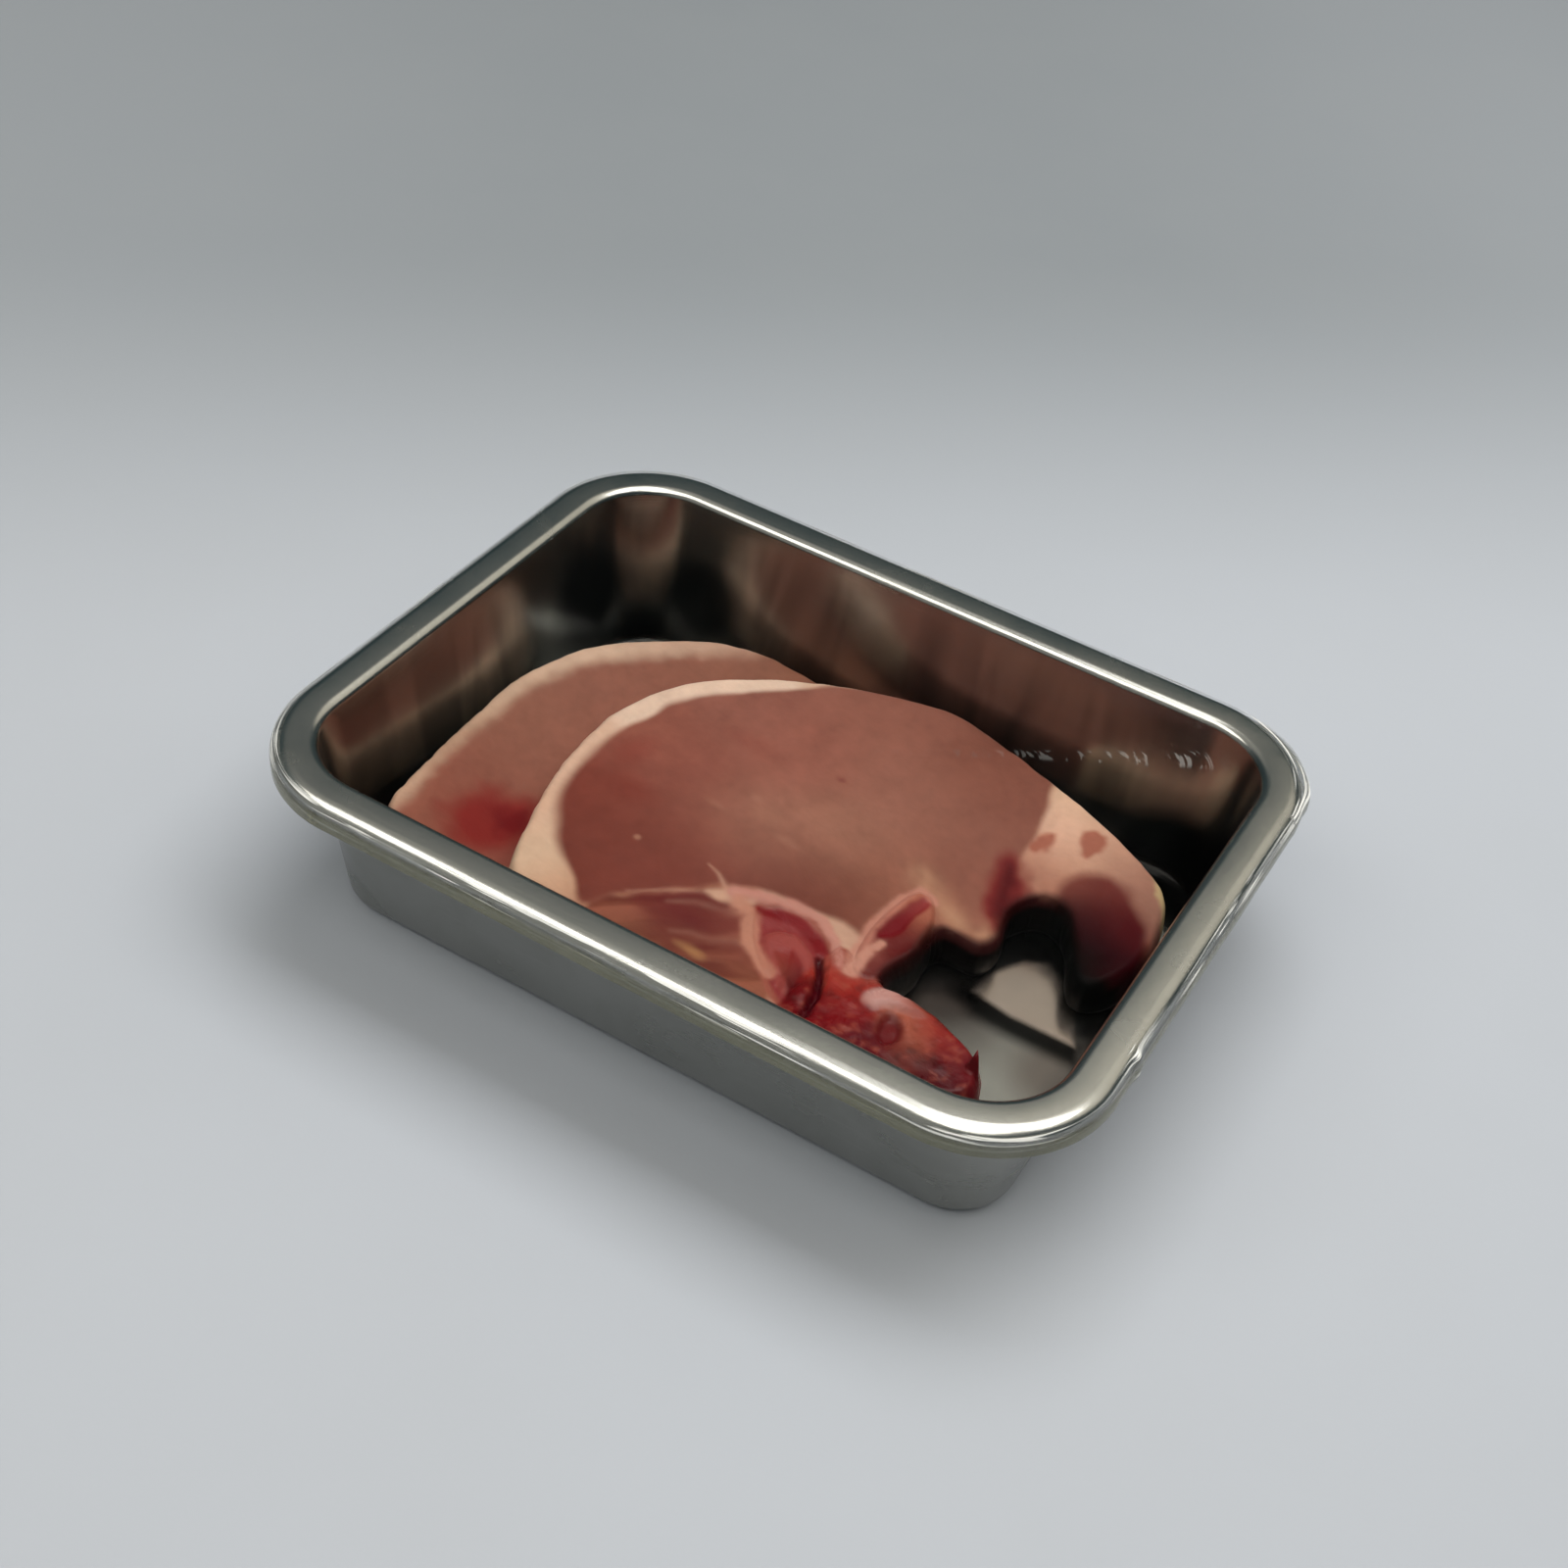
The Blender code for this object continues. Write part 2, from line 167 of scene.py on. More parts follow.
YELLOW_NUB = ((67.2, 37.4), (72.4, 36.8), (77.5, 30.9), (75.5, 25.5), (72.4, 29.4), (69.2, 33.2))
NUB_FAT = ((27.6, 8.6), (32, 7), (37.3, 4.6), (42, 1.8), (44.6, 4.4), (44.6, 9.5))
RIB_OVAL = (
    (11.4, -29), (12.6, -24.9), (16.9, -24), (21.7, -27.2), (24.6, -31.4), (26.2, -37),
    (22.6, -38.4), (16.6, -34.4),
)
RIB_MARROW = (
    (14.4, -29.8), (16.7, -27.4), (20.5, -29.6), (23.2, -34), (22.6, -37.4), (17.5, -33.2),
)
RIB_BAND = ((6.6, -22.8), (9.8, -21), (14.6, -20.2), (19.4, -21.6), (23.2, -24.8), (26, -30))
RIB_TOP = ((0.5, -22.4), (5.6, -19.6), (11.4, -17), (17, -16), (23, -19.8), (26.4, -25))
RIB_SIDE = ((3, -24), (6, -24.8), (7.8, -28), (9.6, -31.2), (13.2, -33.4), (16.6, -35.4))
ARCH_MARROW = (
    (28.3, -12.4), (27.5, -8), (28.5, -1.6), (30.4, 4.4), (32.2, 3.2), (31.4, -2.9), (31.2, -8.6),
)
ARCH_RIM = ((27.4, -22), (26.9, -15.7), (26, -11), (26.3, -5), (27, 1.5), (28.7, 5.8), (32, 5.2))
ARCH_LIMB = ((28.9, -25), (28.9, -21), (29.3, -16.4), (29.8, -13.4))
# The pale rims of the bones: line, half width at its start and end, colour.
BONE_RIMS = (
    (ARCH_RIM, 1.5, 1.2, (186, 124, 106)), (ARCH_LIMB, 1.8, 1.0, (202, 146, 126)),
    (RIB_TOP, 1.7, 1.1, (188, 126, 112)), (RIB_SIDE, 2.1, 1.4, (188, 126, 104)),
)
CARTILAGE = (
    (35, -30.6), (34.3, -28.2), (36.1, -24.9), (39.7, -23.6), (43.5, -23.8), (46.6, -25.2),
    (44.4, -27.3), (39.9, -28.6), (37.6, -31),
)
MARROW_HOLE = (
    (39.8, -32.6), (40, -30.4), (41.9, -29.6), (44.6, -31.6), (45.2, -34.8), (43.4, -37.2),
    (40.8, -36),
)
SLIT = ((22.4, -25.6), (25.2, -30.5), (27, -35), (27.6, -41))
JOINT = (
    (-4.4, -25.6), (-1.4, -22.6), (2.4, -21), (5.4, -20.4), (4.6, -23), (0.8, -25), (-2, -26.2),
)
# Pale sinews: line, half width at its start and end, strength.
SINEWS = (
    (((-1.6, -22.4), (-4.6, -20.6), (-7.4, -20)), 0.7, 0.2, 0.75),
    (((-3.6, -25.4), (-7.9, -28.7), (-12.4, -32.6), (-16, -36.5)), 0.6, 0.35, 0.45),
    (((3.6, -26.4), (-0.5, -28), (-4.5, -29.6), (-8.6, -33)), 1.2, 0.6, 0.20),
    (((9.4, -31), (3.5, -35.6), (-0.8, -36.8), (-4, -39)), 1.3, 0.7, 0.18),
    (((5.6, -24), (1.5, -24.4), (-2, -25.4)), 1.3, 0.9, 0.6),
)
# Soft stains: place in plan, reach along x and y, strength, colour.
EYE_STAINS = (
    (-30, -14, 6, 4, 0.40, (118, 46, 38)), (-36, -4, 3.5, 6, 0.40, (124, 50, 42)),
    (2, 18, 1.2, 1.0, 0.50, (110, 44, 40)), (-18, 14, 7, 3, 0.25, (124, 56, 46)),
    (-4, -2, 4, 2.2, 0.35, (158, 106, 86)), (-14, -6, 2.4, 1.0, 0.35, (164, 112, 92)),
    (-9, 1, 1.6, 1.0, 0.35, (168, 116, 96)), (2, -5, 3.2, 1.0, 0.35, (162, 112, 92)),
    (-22, -24, 0.7, 0.6, 0.60, (176, 124, 100)),
)
FLANK_STAINS = (
    (1.6, -40.6, 3.0, 1.2, 0.70, (168, 118, 78)), (-5, -44.5, 3.0, 0.9, 0.55, (158, 106, 72)),
    (-3, -34, 5, 2.2, 0.60, (98, 36, 36)), (-10, -37, 4, 1.6, 0.45, (104, 42, 38)),
)
BLOOD_PATCH = (
    (-60.4, -36), (-60.6, -29), (-56.8, -22.5), (-51.7, -18.3), (-47.6, -21.5), (-46.4, -30),
    (-50.3, -38), (-55.5, -40),
)
BAY = (
    (35, -24), (34.4, -12), (34.4, 0), (41, 3), (45, 6), (44, 13), (48, 21), (56, 21),
    (61, 14), (65, 8), (76, 6), (78, -20), (62, -24),
)

# ---- Display colours pinned at places in plan, (x, y, red, green, blue) ----
FRONT_FAT = (
    (-38, -42, 210, 172, 144), (-44, -34, 210, 166, 140), (-45, -10, 208, 166, 142),
    (-43, 12, 220, 184, 162), (-32, 30, 222, 186, 164), (-10, 48, 200, 162, 138),
    (8, 53, 176, 128, 104), (-26, -47, 196, 150, 122), (-17, -47, 160, 104, 82),
    (46, 46, 214, 170, 140), (46, 38, 218, 170, 146), (49, 33, 204, 150, 124),
    (58, 40, 194, 144, 120), (64, 35, 160, 110, 92), (71, 29, 150, 102, 86),
    (44, 24, 178, 122, 102), (49, 22, 160, 104, 84), (76, 14, 150, 84, 70),
)
FRONT_LEAN = (
    (-37, -18, 121, 58, 47), (-27, -31, 115, 56, 45), (-38, 2, 138, 80, 66),
    (-24, -4, 134, 76, 64), (-16, -18, 120, 64, 52), (-6, -8, 154, 102, 85), (10, 4, 152, 102, 84),
    (-8, 18, 146, 88, 74), (-24, 22, 137, 84, 71), (2, 40, 136, 84, 70), (26, 42, 124, 74, 60),
    (30, 22, 144, 92, 76), (12, 24, 144, 92, 77), (20, -8, 112, 60, 48), (38, 14, 128, 72, 60),
    (-8, -24, 118, 56, 46), (8, -15, 112, 56, 45), (-14, -26, 116, 56, 46), (28, 0, 144, 88, 70),
    (34, 34, 134, 80, 66), (38, 4, 150, 98, 80),
)
FLANK_MEAT = (
    (-16, -42, 118, 62, 48), (-10, -35, 112, 52, 44), (-6, -30, 116, 54, 46),
    (-6, -36, 98, 38, 36), (0, -32, 98, 36, 35), (0, -38, 112, 58, 46), (5, -28, 128, 64, 54),
    (6, -36, 112, 54, 46), (8, -42, 132, 76, 56), (-10, -45, 130, 78, 58),
)
# The tail muscle's reds; the pins towards the bay are painted shade, near black.
TAIL_REDS_AND_SHADE = (
    (54, 27, 122, 62, 52), (62, 29, 108, 46, 40), (70, 22, 78, 15, 19), (74, 10, 50, 2, 10),
    (62, 22, 68, 12, 16), (58, 19, 16, 1, 4), (66, 14, 24, 1, 5), (70, 4, 14, 0, 3),
    (62, 8, 2, 0, 1),
)
RIB_REDS = (
    (15, -29, 146, 52, 46), (19, -29, 134, 34, 34), (21, -33, 92, 10, 18), (23, -37, 78, 6, 16),
    (17, -34, 140, 70, 54),
)
VERTEBRA_REDS = (
    (27, -28, 160, 48, 38), (30, -31, 158, 44, 34), (28, -35, 104, 12, 18), (33, -37, 116, 10, 18),
    (33, -33, 132, 24, 26), (27, -24, 160, 84, 70), (44.6, -29.6, 172, 96, 74),
    (47.5, -31.5, 158, 86, 66), (48.5, -27.4, 158, 50, 40), (50.5, -27.5, 140, 34, 32),
    (53.5, -28.5, 112, 14, 24), (57, -31, 112, 26, 32), (48, -36, 98, 34, 30),
    (40, -40, 88, 10, 22), (55, -36, 76, 10, 20),
)
ARCH_REDS = (
    (33, -8, 112, 32, 30), (32.5, 1, 164, 98, 76), (34.5, -4, 132, 66, 50), (36, -9, 72, 16, 18),
    (33, -15, 98, 26, 26), (32, -21, 108, 38, 34), (36, -20, 84, 24, 26), (28, -18, 160, 92, 78),
)
BACK_FAT = (
    (-68, -42, 190, 150, 126), (-71, -20, 178, 138, 114), (-72, 0, 188, 152, 128),
    (-70, 14, 204, 166, 142), (-64, 26, 202, 166, 142), (-50, 42, 190, 150, 128),
    (-30, 52, 170, 122, 102), (-16, 53, 172, 124, 104),
)
BACK_LEAN = (
    (-64, -34, 142, 84, 68), (-62, -14, 134, 82, 67), (-66, 0, 142, 92, 75),
    (-58, 20, 142, 90, 74), (-50, 6, 134, 82, 68), (-40, 40, 140, 90, 73), (-20, 44, 142, 91, 71),
    (0, 44, 136, 82, 67), (-52, -38, 122, 58, 50), (-40, 24, 132, 80, 66), (-62, -44, 150, 92, 74),
)

BLACK, DARK = (0.003, 0.003, 0.003), (0.015, 0.014, 0.016)
BROWN, PALE = (0.15, 0.120, 0.108), (0.62, 0.52, 0.45)
# Painted reflection and shade on the polished inside: places (x, y, z, full reach, end of reach,
# strength, colour) ...
PAINTED_REFLECTION_SPOTS = (
    (-0.079, 0.040, 0.019, 0.007, 0.016, 0.90, DARK),
    (-0.058, 0.058, 0.016, 0.006, 0.013, 0.85, DARK),
    (-0.068, 0.049, 0.004, 0.005, 0.011, 0.97, BLACK),
    (0.066, 0.053, 0.003, 0.010, 0.017, 0.99, BLACK),
    (0.077, 0.046, 0.008, 0.010, 0.018, 0.95, BLACK),
    (0.062, 0.024, 0.001, 0.010, 0.018, 0.95, DARK),
    (0.046, 0.013, 0.001, 0.006, 0.013, 0.95, DARK),
    (0.078, 0.020, 0.012, 0.010, 0.022, 0.80, DARK),
    (0.076, 0.004, 0.001, 0.005, 0.013, 0.92, DARK),
    (0.040, -0.003, 0.001, 0.008, 0.016, 0.93, DARK),
    (0.046, -0.011, 0.001, 0.005, 0.018, 0.60, BROWN),
    (0.071, -0.012, 0.001, 0.004, 0.015, 0.75, BROWN),
)
# ... and two straight-edged painted reflections on its floor, one black and one pale, as convex
# outlines in plan, in metres.
PAINTED_FLOOR_REFLECTIONS = (
    (((0.043, -0.003), (0.046, 0.000), (0.072, -0.002), (0.074, -0.0085), (0.058, -0.0088),
      (0.049, -0.0080)), 0.0024, 0.96, BLACK),
    (((0.0467, -0.0016), (0.0473, 0.0044), (0.0519, 0.0126), (0.0563, 0.0148), (0.0642, 0.0096),
      (0.0701, -0.0030), (0.0562, -0.0033)), 0.0011, 0.96, PALE),
)


for item in list(bpy.data.objects):
    bpy.data.objects.remove(item, do_unlink=True)
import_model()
scene = bpy.context.scene


# ---- Small numeric helpers ----


def srgb(red, green, blue):
    """A display colour, 0 to 255, as scene-linear."""
    value = np.array([red, green, blue], float) / 255
    return np.where(value <= 0.04045, value / 12.92, ((value + 0.055) / 1.055) ** 2.4)


def smooth(low, high, x):
    """0 at low and 1 at high with a soft start and end; low may be the larger."""
    t = np.clip((np.asarray(x, float) - low) / (high - low), 0, 1)
    return t * t * (3 - 2 * t)


def blended(colours, target, weight):
    return colours + (np.asarray(target) - colours) * weight[:, None]


def tinted(colours, rgb, weight):
    return blended(colours, srgb(*rgb), weight)


def noise(points, size, seed):
    """Smooth noise from -1 to 1 over plan points, with features of this size."""
    lattice = np.random.default_rng(seed).uniform(-1, 1, (LATTICE, LATTICE))
    at = points / size + LATTICE_SHIFT
    cell = np.floor(at).astype(int)
    part = at - cell
    part = part * part * (3 - 2 * part)
    x0, y0 = cell[:, 0] % LATTICE, cell[:, 1] % LATTICE
    x1, y1 = (x0 + 1) % LATTICE, (y0 + 1) % LATTICE
    low = lattice[x0, y0] * (1 - part[:, 0]) + lattice[x1, y0] * part[:, 0]
    high = lattice[x0, y1] * (1 - part[:, 0]) + lattice[x1, y1] * part[:, 0]
    return low * (1 - part[:, 1]) + high * part[:, 1]


def rough_noise(points, size, seed):
    """Three octaves of noise."""
    return (
        noise(points, size, seed)
        + 0.5 * noise(points, size / 2.1, seed + 1)
        + 0.25 * noise(points, size / 4.3, seed + 2)
    ) / 1.75


def closed_curve(points, steps=6):
    """A smooth closed curve through the points."""
    fixed = np.array(points, float)
    before, after, beyond = (np.roll(fixed, shift, axis=0) for shift in (1, -1, -2))
    bend = 2 * before - 5 * fixed + 4 * after - beyond
    twist = 3 * fixed - before - 3 * after + beyond
    runs = [
        0.5 * (2 * fixed + (after - before) * t + bend * t**2 + twist * t**3)
        for t in np.arange(steps) / steps
    ]
    return np.stack(runs, axis=1).reshape(-1, 2)


def resampled(outline, spacing):
    """The closed outline with its points spread evenly."""
    closed = np.concatenate([outline, outline[:1]])
    run = np.concatenate([[0], np.cumsum(np.linalg.norm(np.diff(closed, axis=0), axis=1))])
    count = max(8, int(round(run[-1] / spacing)))
    at = np.arange(count) * run[-1] / count
    return np.stack([np.interp(at, run, closed[:, 0]), np.interp(at, run, closed[:, 1])], axis=1)


def chunks(points):
    """The points in groups that keep the tables of distances small."""
    return np.array_split(points, max(1, len(points) // CHUNK))


def is_inside(points, outline):
    ax, ay = outline.T
    bx, by = np.roll(outline, -1, axis=0).T
    rise = np.where(by == ay, 1.0, by - ay)
    found = []
    for part in chunks(points):
        x, y = part[:, :1], part[:, 1:]
        crossed = ((ay > y) != (by > y)) & (x < ax + (y - ay) * (bx - ax) / rise)
        found.append(crossed.sum(axis=1) % 2 == 1)
    return np.concatenate(found)


def run_distances(points, start, run):
    """How far each point is from each straight run."""
    offset = points[:, None] - start[None]
    share = np.clip((offset * run).sum(axis=2) / (run**2).sum(axis=1), 0, 1)
    return np.linalg.norm(offset - share[..., None] * run, axis=2)


def line_distance(points, line, closed=False):
    """How far each point is from the line through the given points."""
    start = line if closed else line[:-1]
    run = (np.roll(line, -1, axis=0) if closed else line[1:]) - start
    return np.concatenate([run_distances(part, start, run).min(axis=1) for part in chunks(points)])


def signed(points, corners):
    """Distance to the smooth closed curve through corners, negative inside it."""
    outline = closed_curve(corners, 4)
    distance = line_distance(points, outline, closed=True)
    return np.where(is_inside(points, outline), -distance, distance)


def edge(points, corners, low, high, uneven=0.0):
    """The soft step from low to high across the smooth closed curve through corners."""
    return smooth(low, high, signed(points, corners) + uneven)


def to_right(along):
    """Unit vectors a quarter turn clockwise from these."""
    along = along / np.linalg.norm(along, axis=1)[:, None]
    return np.stack([along[:, 1], -along[:, 0]], axis=1)


def pinned(points, pins, spread=SPREAD):
    """The smooth field that passes near the pins, (x, y, value...)."""
    pins = np.array(pins, float)
    squares = ((points[:, None] - pins[None, :, :2]) ** 2).sum(axis=2)
    weights = np.exp(-squares / (2 * spread**2)) + TINY
    return weights @ pins[:, 2:] / weights.sum(axis=1)[:, None]


def pinned_colour(points, pins, spread=SPREAD):
    return pinned(points, [(x, y, *srgb(*rgb)) for x, y, *rgb in pins], spread)


# ---- Node materials ----


class Nodes:
    """A node tree with short calls for the nodes used here."""

    def __init__(self, tree, coordinates="Object"):
        self.tree = tree
        self.place = self.add("TexCoord", output=coordinates)

    def add(self, kind, inputs=None, output=0, **settings):
        """What a new node puts out; inputs are its sockets' numbers or links."""
        node = self.tree.nodes.new("ShaderNode" + kind)
        for name, value in settings.items():
            setattr(node, name, value)
        for socket, value in (inputs or {}).items():
            self.put(node.inputs[socket], value)
        return node.outputs[output]

    def put(self, socket, value):
        if isinstance(value, bpy.types.NodeSocket):
            self.tree.links.new(value, socket)
        elif socket.type == "RGBA":
            socket.default_value = (*value, 1.0)
        else:
            socket.default_value = value

    def math(self, operation, a, b=0.0, clamp=False):
        return self.add("Math", {0: a, 1: b}, operation=operation, use_clamp=clamp)

    def attribute(self, name, output="Fac"):
        return self.add("Attribute", output=output, attribute_name=name)

    def turned(self, scale, degrees=(0, 0, 0)):
        """The place turned, and scaled by this much along each axis."""
        turn = [math.radians(d) for d in degrees]
        return self.add("Mapping", {"Vector": self.place, "Rotation": turn, "Scale": scale})

    def along(self, direction):
        """How far the place lies in this direction."""
        inputs = {0: self.place, 1: direction}
        return self.add("VectorMath", inputs, "Value", operation="DOT_PRODUCT")

    def noise(self, scale, detail=3.0, vector=None, rough=0.5, warp=0.0):
        inputs = {"Scale": scale, "Detail": detail, "Roughness": rough, "Distortion": warp}
        return self.add("TexNoise", {"Vector": vector or self.place, **inputs}, "Fac")

    def ranged(self, value, low, high, to_low=0.0, to_high=1.0):
        limits = {"From Min": low, "From Max": high, "To Min": to_low, "To Max": to_high}
        inputs = {"Value": value, **limits}
        return self.add("MapRange", inputs, "Result", interpolation_type="SMOOTHSTEP")

    def outside(self, corners):
        """How far out of the convex outline, clockwise in plan, the place lies."""
        most = -1.0
        for (ax, ay), (bx, by) in zip(corners, corners[1:] + corners[:1]):
            length = math.hypot(bx - ax, by - ay)
            nx, ny = (ay - by) / length, (bx - ax) / length
            reach = self.math("SUBTRACT", self.along((nx, ny, 0.0)), nx * ax + ny * ay)
            most = self.math("MAXIMUM", reach, most)
        return most

    def mix(self, factor, a, b, kind="MIX"):
        return self.add("Mix", {0: factor, 6: a, 7: b}, 2, data_type="RGBA", blend_type=kind)

    def grey(self, value):
        return self.add("CombineColor", {0: value, 1: value, 2: value})

    def bump(self, height, distance, strength=1.0, normal=None):
        inputs = {"Strength": strength, "Distance": distance, "Height": height}
        if normal is not None:
            inputs["Normal"] = normal
        return self.add("Bump", inputs)


class Surface(Nodes):
    """The nodes of a new material, round its Principled shader."""

    def __init__(self, name):
        self.material = bpy.data.materials.new(name)
        self.material.use_nodes = True
        super().__init__(self.material.node_tree)
        self.shader = self.tree.nodes["Principled BSDF"]

    def set(self, **values):
        for name, value in values.items():
            self.put(self.shader.inputs[name.replace("_", " ")], value)


def steel_material():
    """Polished stainless steel with a long grain, smudges and hairlines, and painted dark streaks,
    spots and shapes of reflection and shade on its inside.
    """
    m = Surface("polished_steel")
    grain = m.noise(60.0, 3.0, m.turned((2.0, 2.0, 60.0)), 0.6)
    hairline = m.noise(500.0, 2.0, m.turned((0.06, 2.6, 1.0), (0, 0, 23)), 0.7, 1.0)
    dull = m.ranged(m.noise(38.0, 4.0, None, 0.6, 0.8), 0.35, 0.75)
    inside, wall = m.attribute("inside"), m.attribute("wall")
    rough = m.math("ADD", m.ranged(inside, 0.0, 1.0, 0.20, 0.17), m.math("MULTIPLY", dull, 0.07))
    rough = m.math("ADD", rough, m.math("MULTIPLY", grain, 0.05))
    colour = m.mix(dull, (0.40, 0.405, 0.385), (0.34, 0.345, 0.325))
    colour = m.mix(m.ranged(hairline, 0.60, 0.72, 0.0, 0.35), colour, (0.50, 0.49, 0.46))
    # painted reflection: dark streaks on the inside walls stand in for the dark things they mirror
    painted_dark_streak = m.noise(1.0, 2.0, m.turned((75.0, 75.0, 7.0)), 0.5, 0.6)
    painted_dark_streak = m.math("MULTIPLY", m.ranged(painted_dark_streak, 0.42, 0.64, 0.24, 0.60), wall)
    colour = m.mix(painted_dark_streak, colour, (0.03, 0.035, 0.036))
    # painted reflection and shade: spots where the inside mirrors the chops' shaded sides, or meat,
    # in place of a bright highlight
    for *centre, full, none, strength, shade in PAINTED_REFLECTION_SPOTS:
        away = m.add("VectorMath", {0: m.place, 1: centre}, "Value", operation="DISTANCE")
        near = m.ranged(away, none, full, 0.0, strength)
        colour = m.mix(m.math("MULTIPLY", near, inside), colour, shade)
    # painted reflection: a black shape for the chops' shaded sides and a pale one for the bright
    # room, on the inside floor
    for corners, soft, strength, shade in PAINTED_FLOOR_REFLECTIONS:
        reach = m.math("ADD", m.outside(corners), wall)
        near = m.ranged(reach, soft, -soft, 0.0, strength)
        colour = m.mix(m.math("MULTIPLY", near, inside), colour, shade)
    wavy = m.bump(m.noise(26.0, 1.0), 0.0006, 0.5)
    fine = m.bump(grain, 0.00002, 0.5, wavy)
    m.set(Base_Color=colour, Metallic=1.0, Roughness=rough, Normal=fine)
    return m.material


def film_material():
    """Clear stretch film: it shines where bent and turns cloudy where gathered; its creases at the
    rim, far corner and pinch get painted white highlights.
    """
    m = Surface("stretch_film")
    gather = m.attribute("gather")
    along = m.math("MULTIPLY", m.attribute("along"), 30.0)
    across = m.math("MULTIPLY", m.attribute("across"), 1500.0)
    lines = m.noise(1.0, 2.0, m.add("CombineXYZ", {0: along, 1: across}), 0.6, 0.4)
    # painted highlight: white diffuse lines stand in for the glints of the film's creases
    painted_crease_glint = m.math("MULTIPLY", m.ranged(lines, 0.53, 0.60), m.attribute("crease_glint_mask"))
    diffuse_share = m.math("ADD", gather, painted_crease_glint, True)
    body = m.mix(m.ranged(gather, 0.0, 0.15), (0.92, 0.93, 0.92), (0.24, 0.24, 0.17))
    m.set(
        Base_Color=m.mix(painted_crease_glint, body, (0.97, 0.97, 0.94)),
        Metallic=m.ranged(diffuse_share, 0.0, 0.12, 1.0, 0.0),
        Roughness=m.ranged(m.noise(120.0, 2.0), 0.3, 0.7, 0.05, 0.14),
        IOR=1.5,
        Normal=m.bump(m.noise(240.0, 3.0, None, 0.6, 0.6), 0.00008, 0.35),
    )
    slant = m.add("LayerWeight", {"Blend": 0.5}, "Facing")
    gloss = m.math("MULTIPLY", m.math("POWER", slant, 4.0), 0.35)
    gloss = m.math("MULTIPLY", m.math("ADD", gloss, 0.006), m.attribute("bent"))
    streaks = m.math("MULTIPLY", gather, m.ranged(lines, 0.3, 0.6, 0.6, 1.0))
    cover = m.math("ADD", gloss, streaks)
    cover = m.math("ADD", cover, m.math("MULTIPLY", painted_crease_glint, 0.92), True)
    clear = m.add("BsdfTransparent")
    mixed = m.add("MixShader", {0: cover, 1: clear, 2: m.shader.outputs[0]})
    m.put(m.tree.nodes["Material Output"].inputs["Surface"], mixed)
    return m.material


def meat_material(name, gloss, dry, tint):
    """Cut meat or bone: painted tones, fine fibres and moisture, light that soaks in."""
    m = Surface(name)
    tone, wet = m.attribute("tone", "Color"), m.attribute("wet")
    fibre = m.noise(520.0, 4.0, m.turned((1.0, 2.2, 1.0), (0, 0, 25)), 0.65, 0.4)
    mottle = m.noise(150.0, 4.0, None, 0.6, 0.5)
    shade = m.math("ADD", m.math("MULTIPLY", fibre, 0.16), m.math("MULTIPLY", mottle, 0.26))
    shade = m.math("ADD", shade, 0.79)
    rough = m.ranged(mottle, 0.3, 0.7, dry, dry + 0.12)
    rough = m.math("SUBTRACT", rough, m.math("MULTIPLY", wet, 0.2))
    relief = m.bump(mottle, 0.0006, 0.4)
    relief = m.bump(fibre, 0.00014, 0.45, relief)
    level = m.mix(1.0, tint, m.grey(shade), "MULTIPLY")
    m.set(
        Base_Color=m.mix(1.0, tone, level, "MULTIPLY"),
        Roughness=rough,
        Normal=relief,
        Specular_IOR_Level=gloss,
        Subsurface_Weight=0.12,
        Subsurface_Scale=0.0022,
        Subsurface_Radius=(1.0, 0.38, 0.25),
    )
    return m.material


# ---- Meshes ----


def linked(name, data):
    made = bpy.data.objects.new(name, data)
    scene.collection.objects.link(made)
    return made


def new_piece(name, points, faces, material, node):
    mesh = bpy.data.meshes.new(name)
    mesh.from_pydata([tuple(p) for p in points], [], [tuple(int(i) for i in f) for f in faces])
    mesh.validate()
    mesh.shade_smooth()
    mesh.materials.append(material)
    made = linked(name, mesh)
    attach(made, "root")
    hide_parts(node)
    return made


def store(made, name, values):
    attribute = made.data.attributes.new(name, "FLOAT", "POINT")
    attribute.data.foreach_set("value", np.asarray(values, np.float32))


def store_colour(made, name, colours):
    attribute = made.data.attributes.new(name, "FLOAT_COLOR", "POINT")
    rgba = np.concatenate([colours, np.ones((len(colours), 1))], axis=1)
    attribute.data.foreach_set("color", rgba.astype(np.float32).ravel())


def rounded_path(corners, radii, steps):
    """The line through the corners, with each inner corner rounded to its radius."""
    path = [np.array(corners[0])]
    for before, corner, after, radius in zip(corners, corners[1:], corners[2:], radii):
        here = np.array(corner)
        to_before, to_after = np.array(before) - here, np.array(after) - here
        to_before /= np.linalg.norm(to_before)
        to_after /= np.linalg.norm(to_after)
        half = math.acos(float(np.clip(to_before @ to_after, -1, 1))) / 2
        bisector = (to_before + to_after) / np.linalg.norm(to_before + to_after)
        centre = here + bisector * radius / math.sin(half)
        start = here + to_before * radius / math.tan(half) - centre
        end = here + to_after * radius / math.tan(half) - centre
        turn = math.acos(float(np.clip(start @ end / radius**2, -1, 1)))
        for share in (step / steps for step in range(steps + 1)):
            weight_start = math.sin((1 - share) * turn) / math.sin(turn)
            weight_end = math.sin(share * turn) / math.sin(turn)
            path.append(centre + weight_start * start + weight_end * end)
    return np.array([*path, corners[-1]])


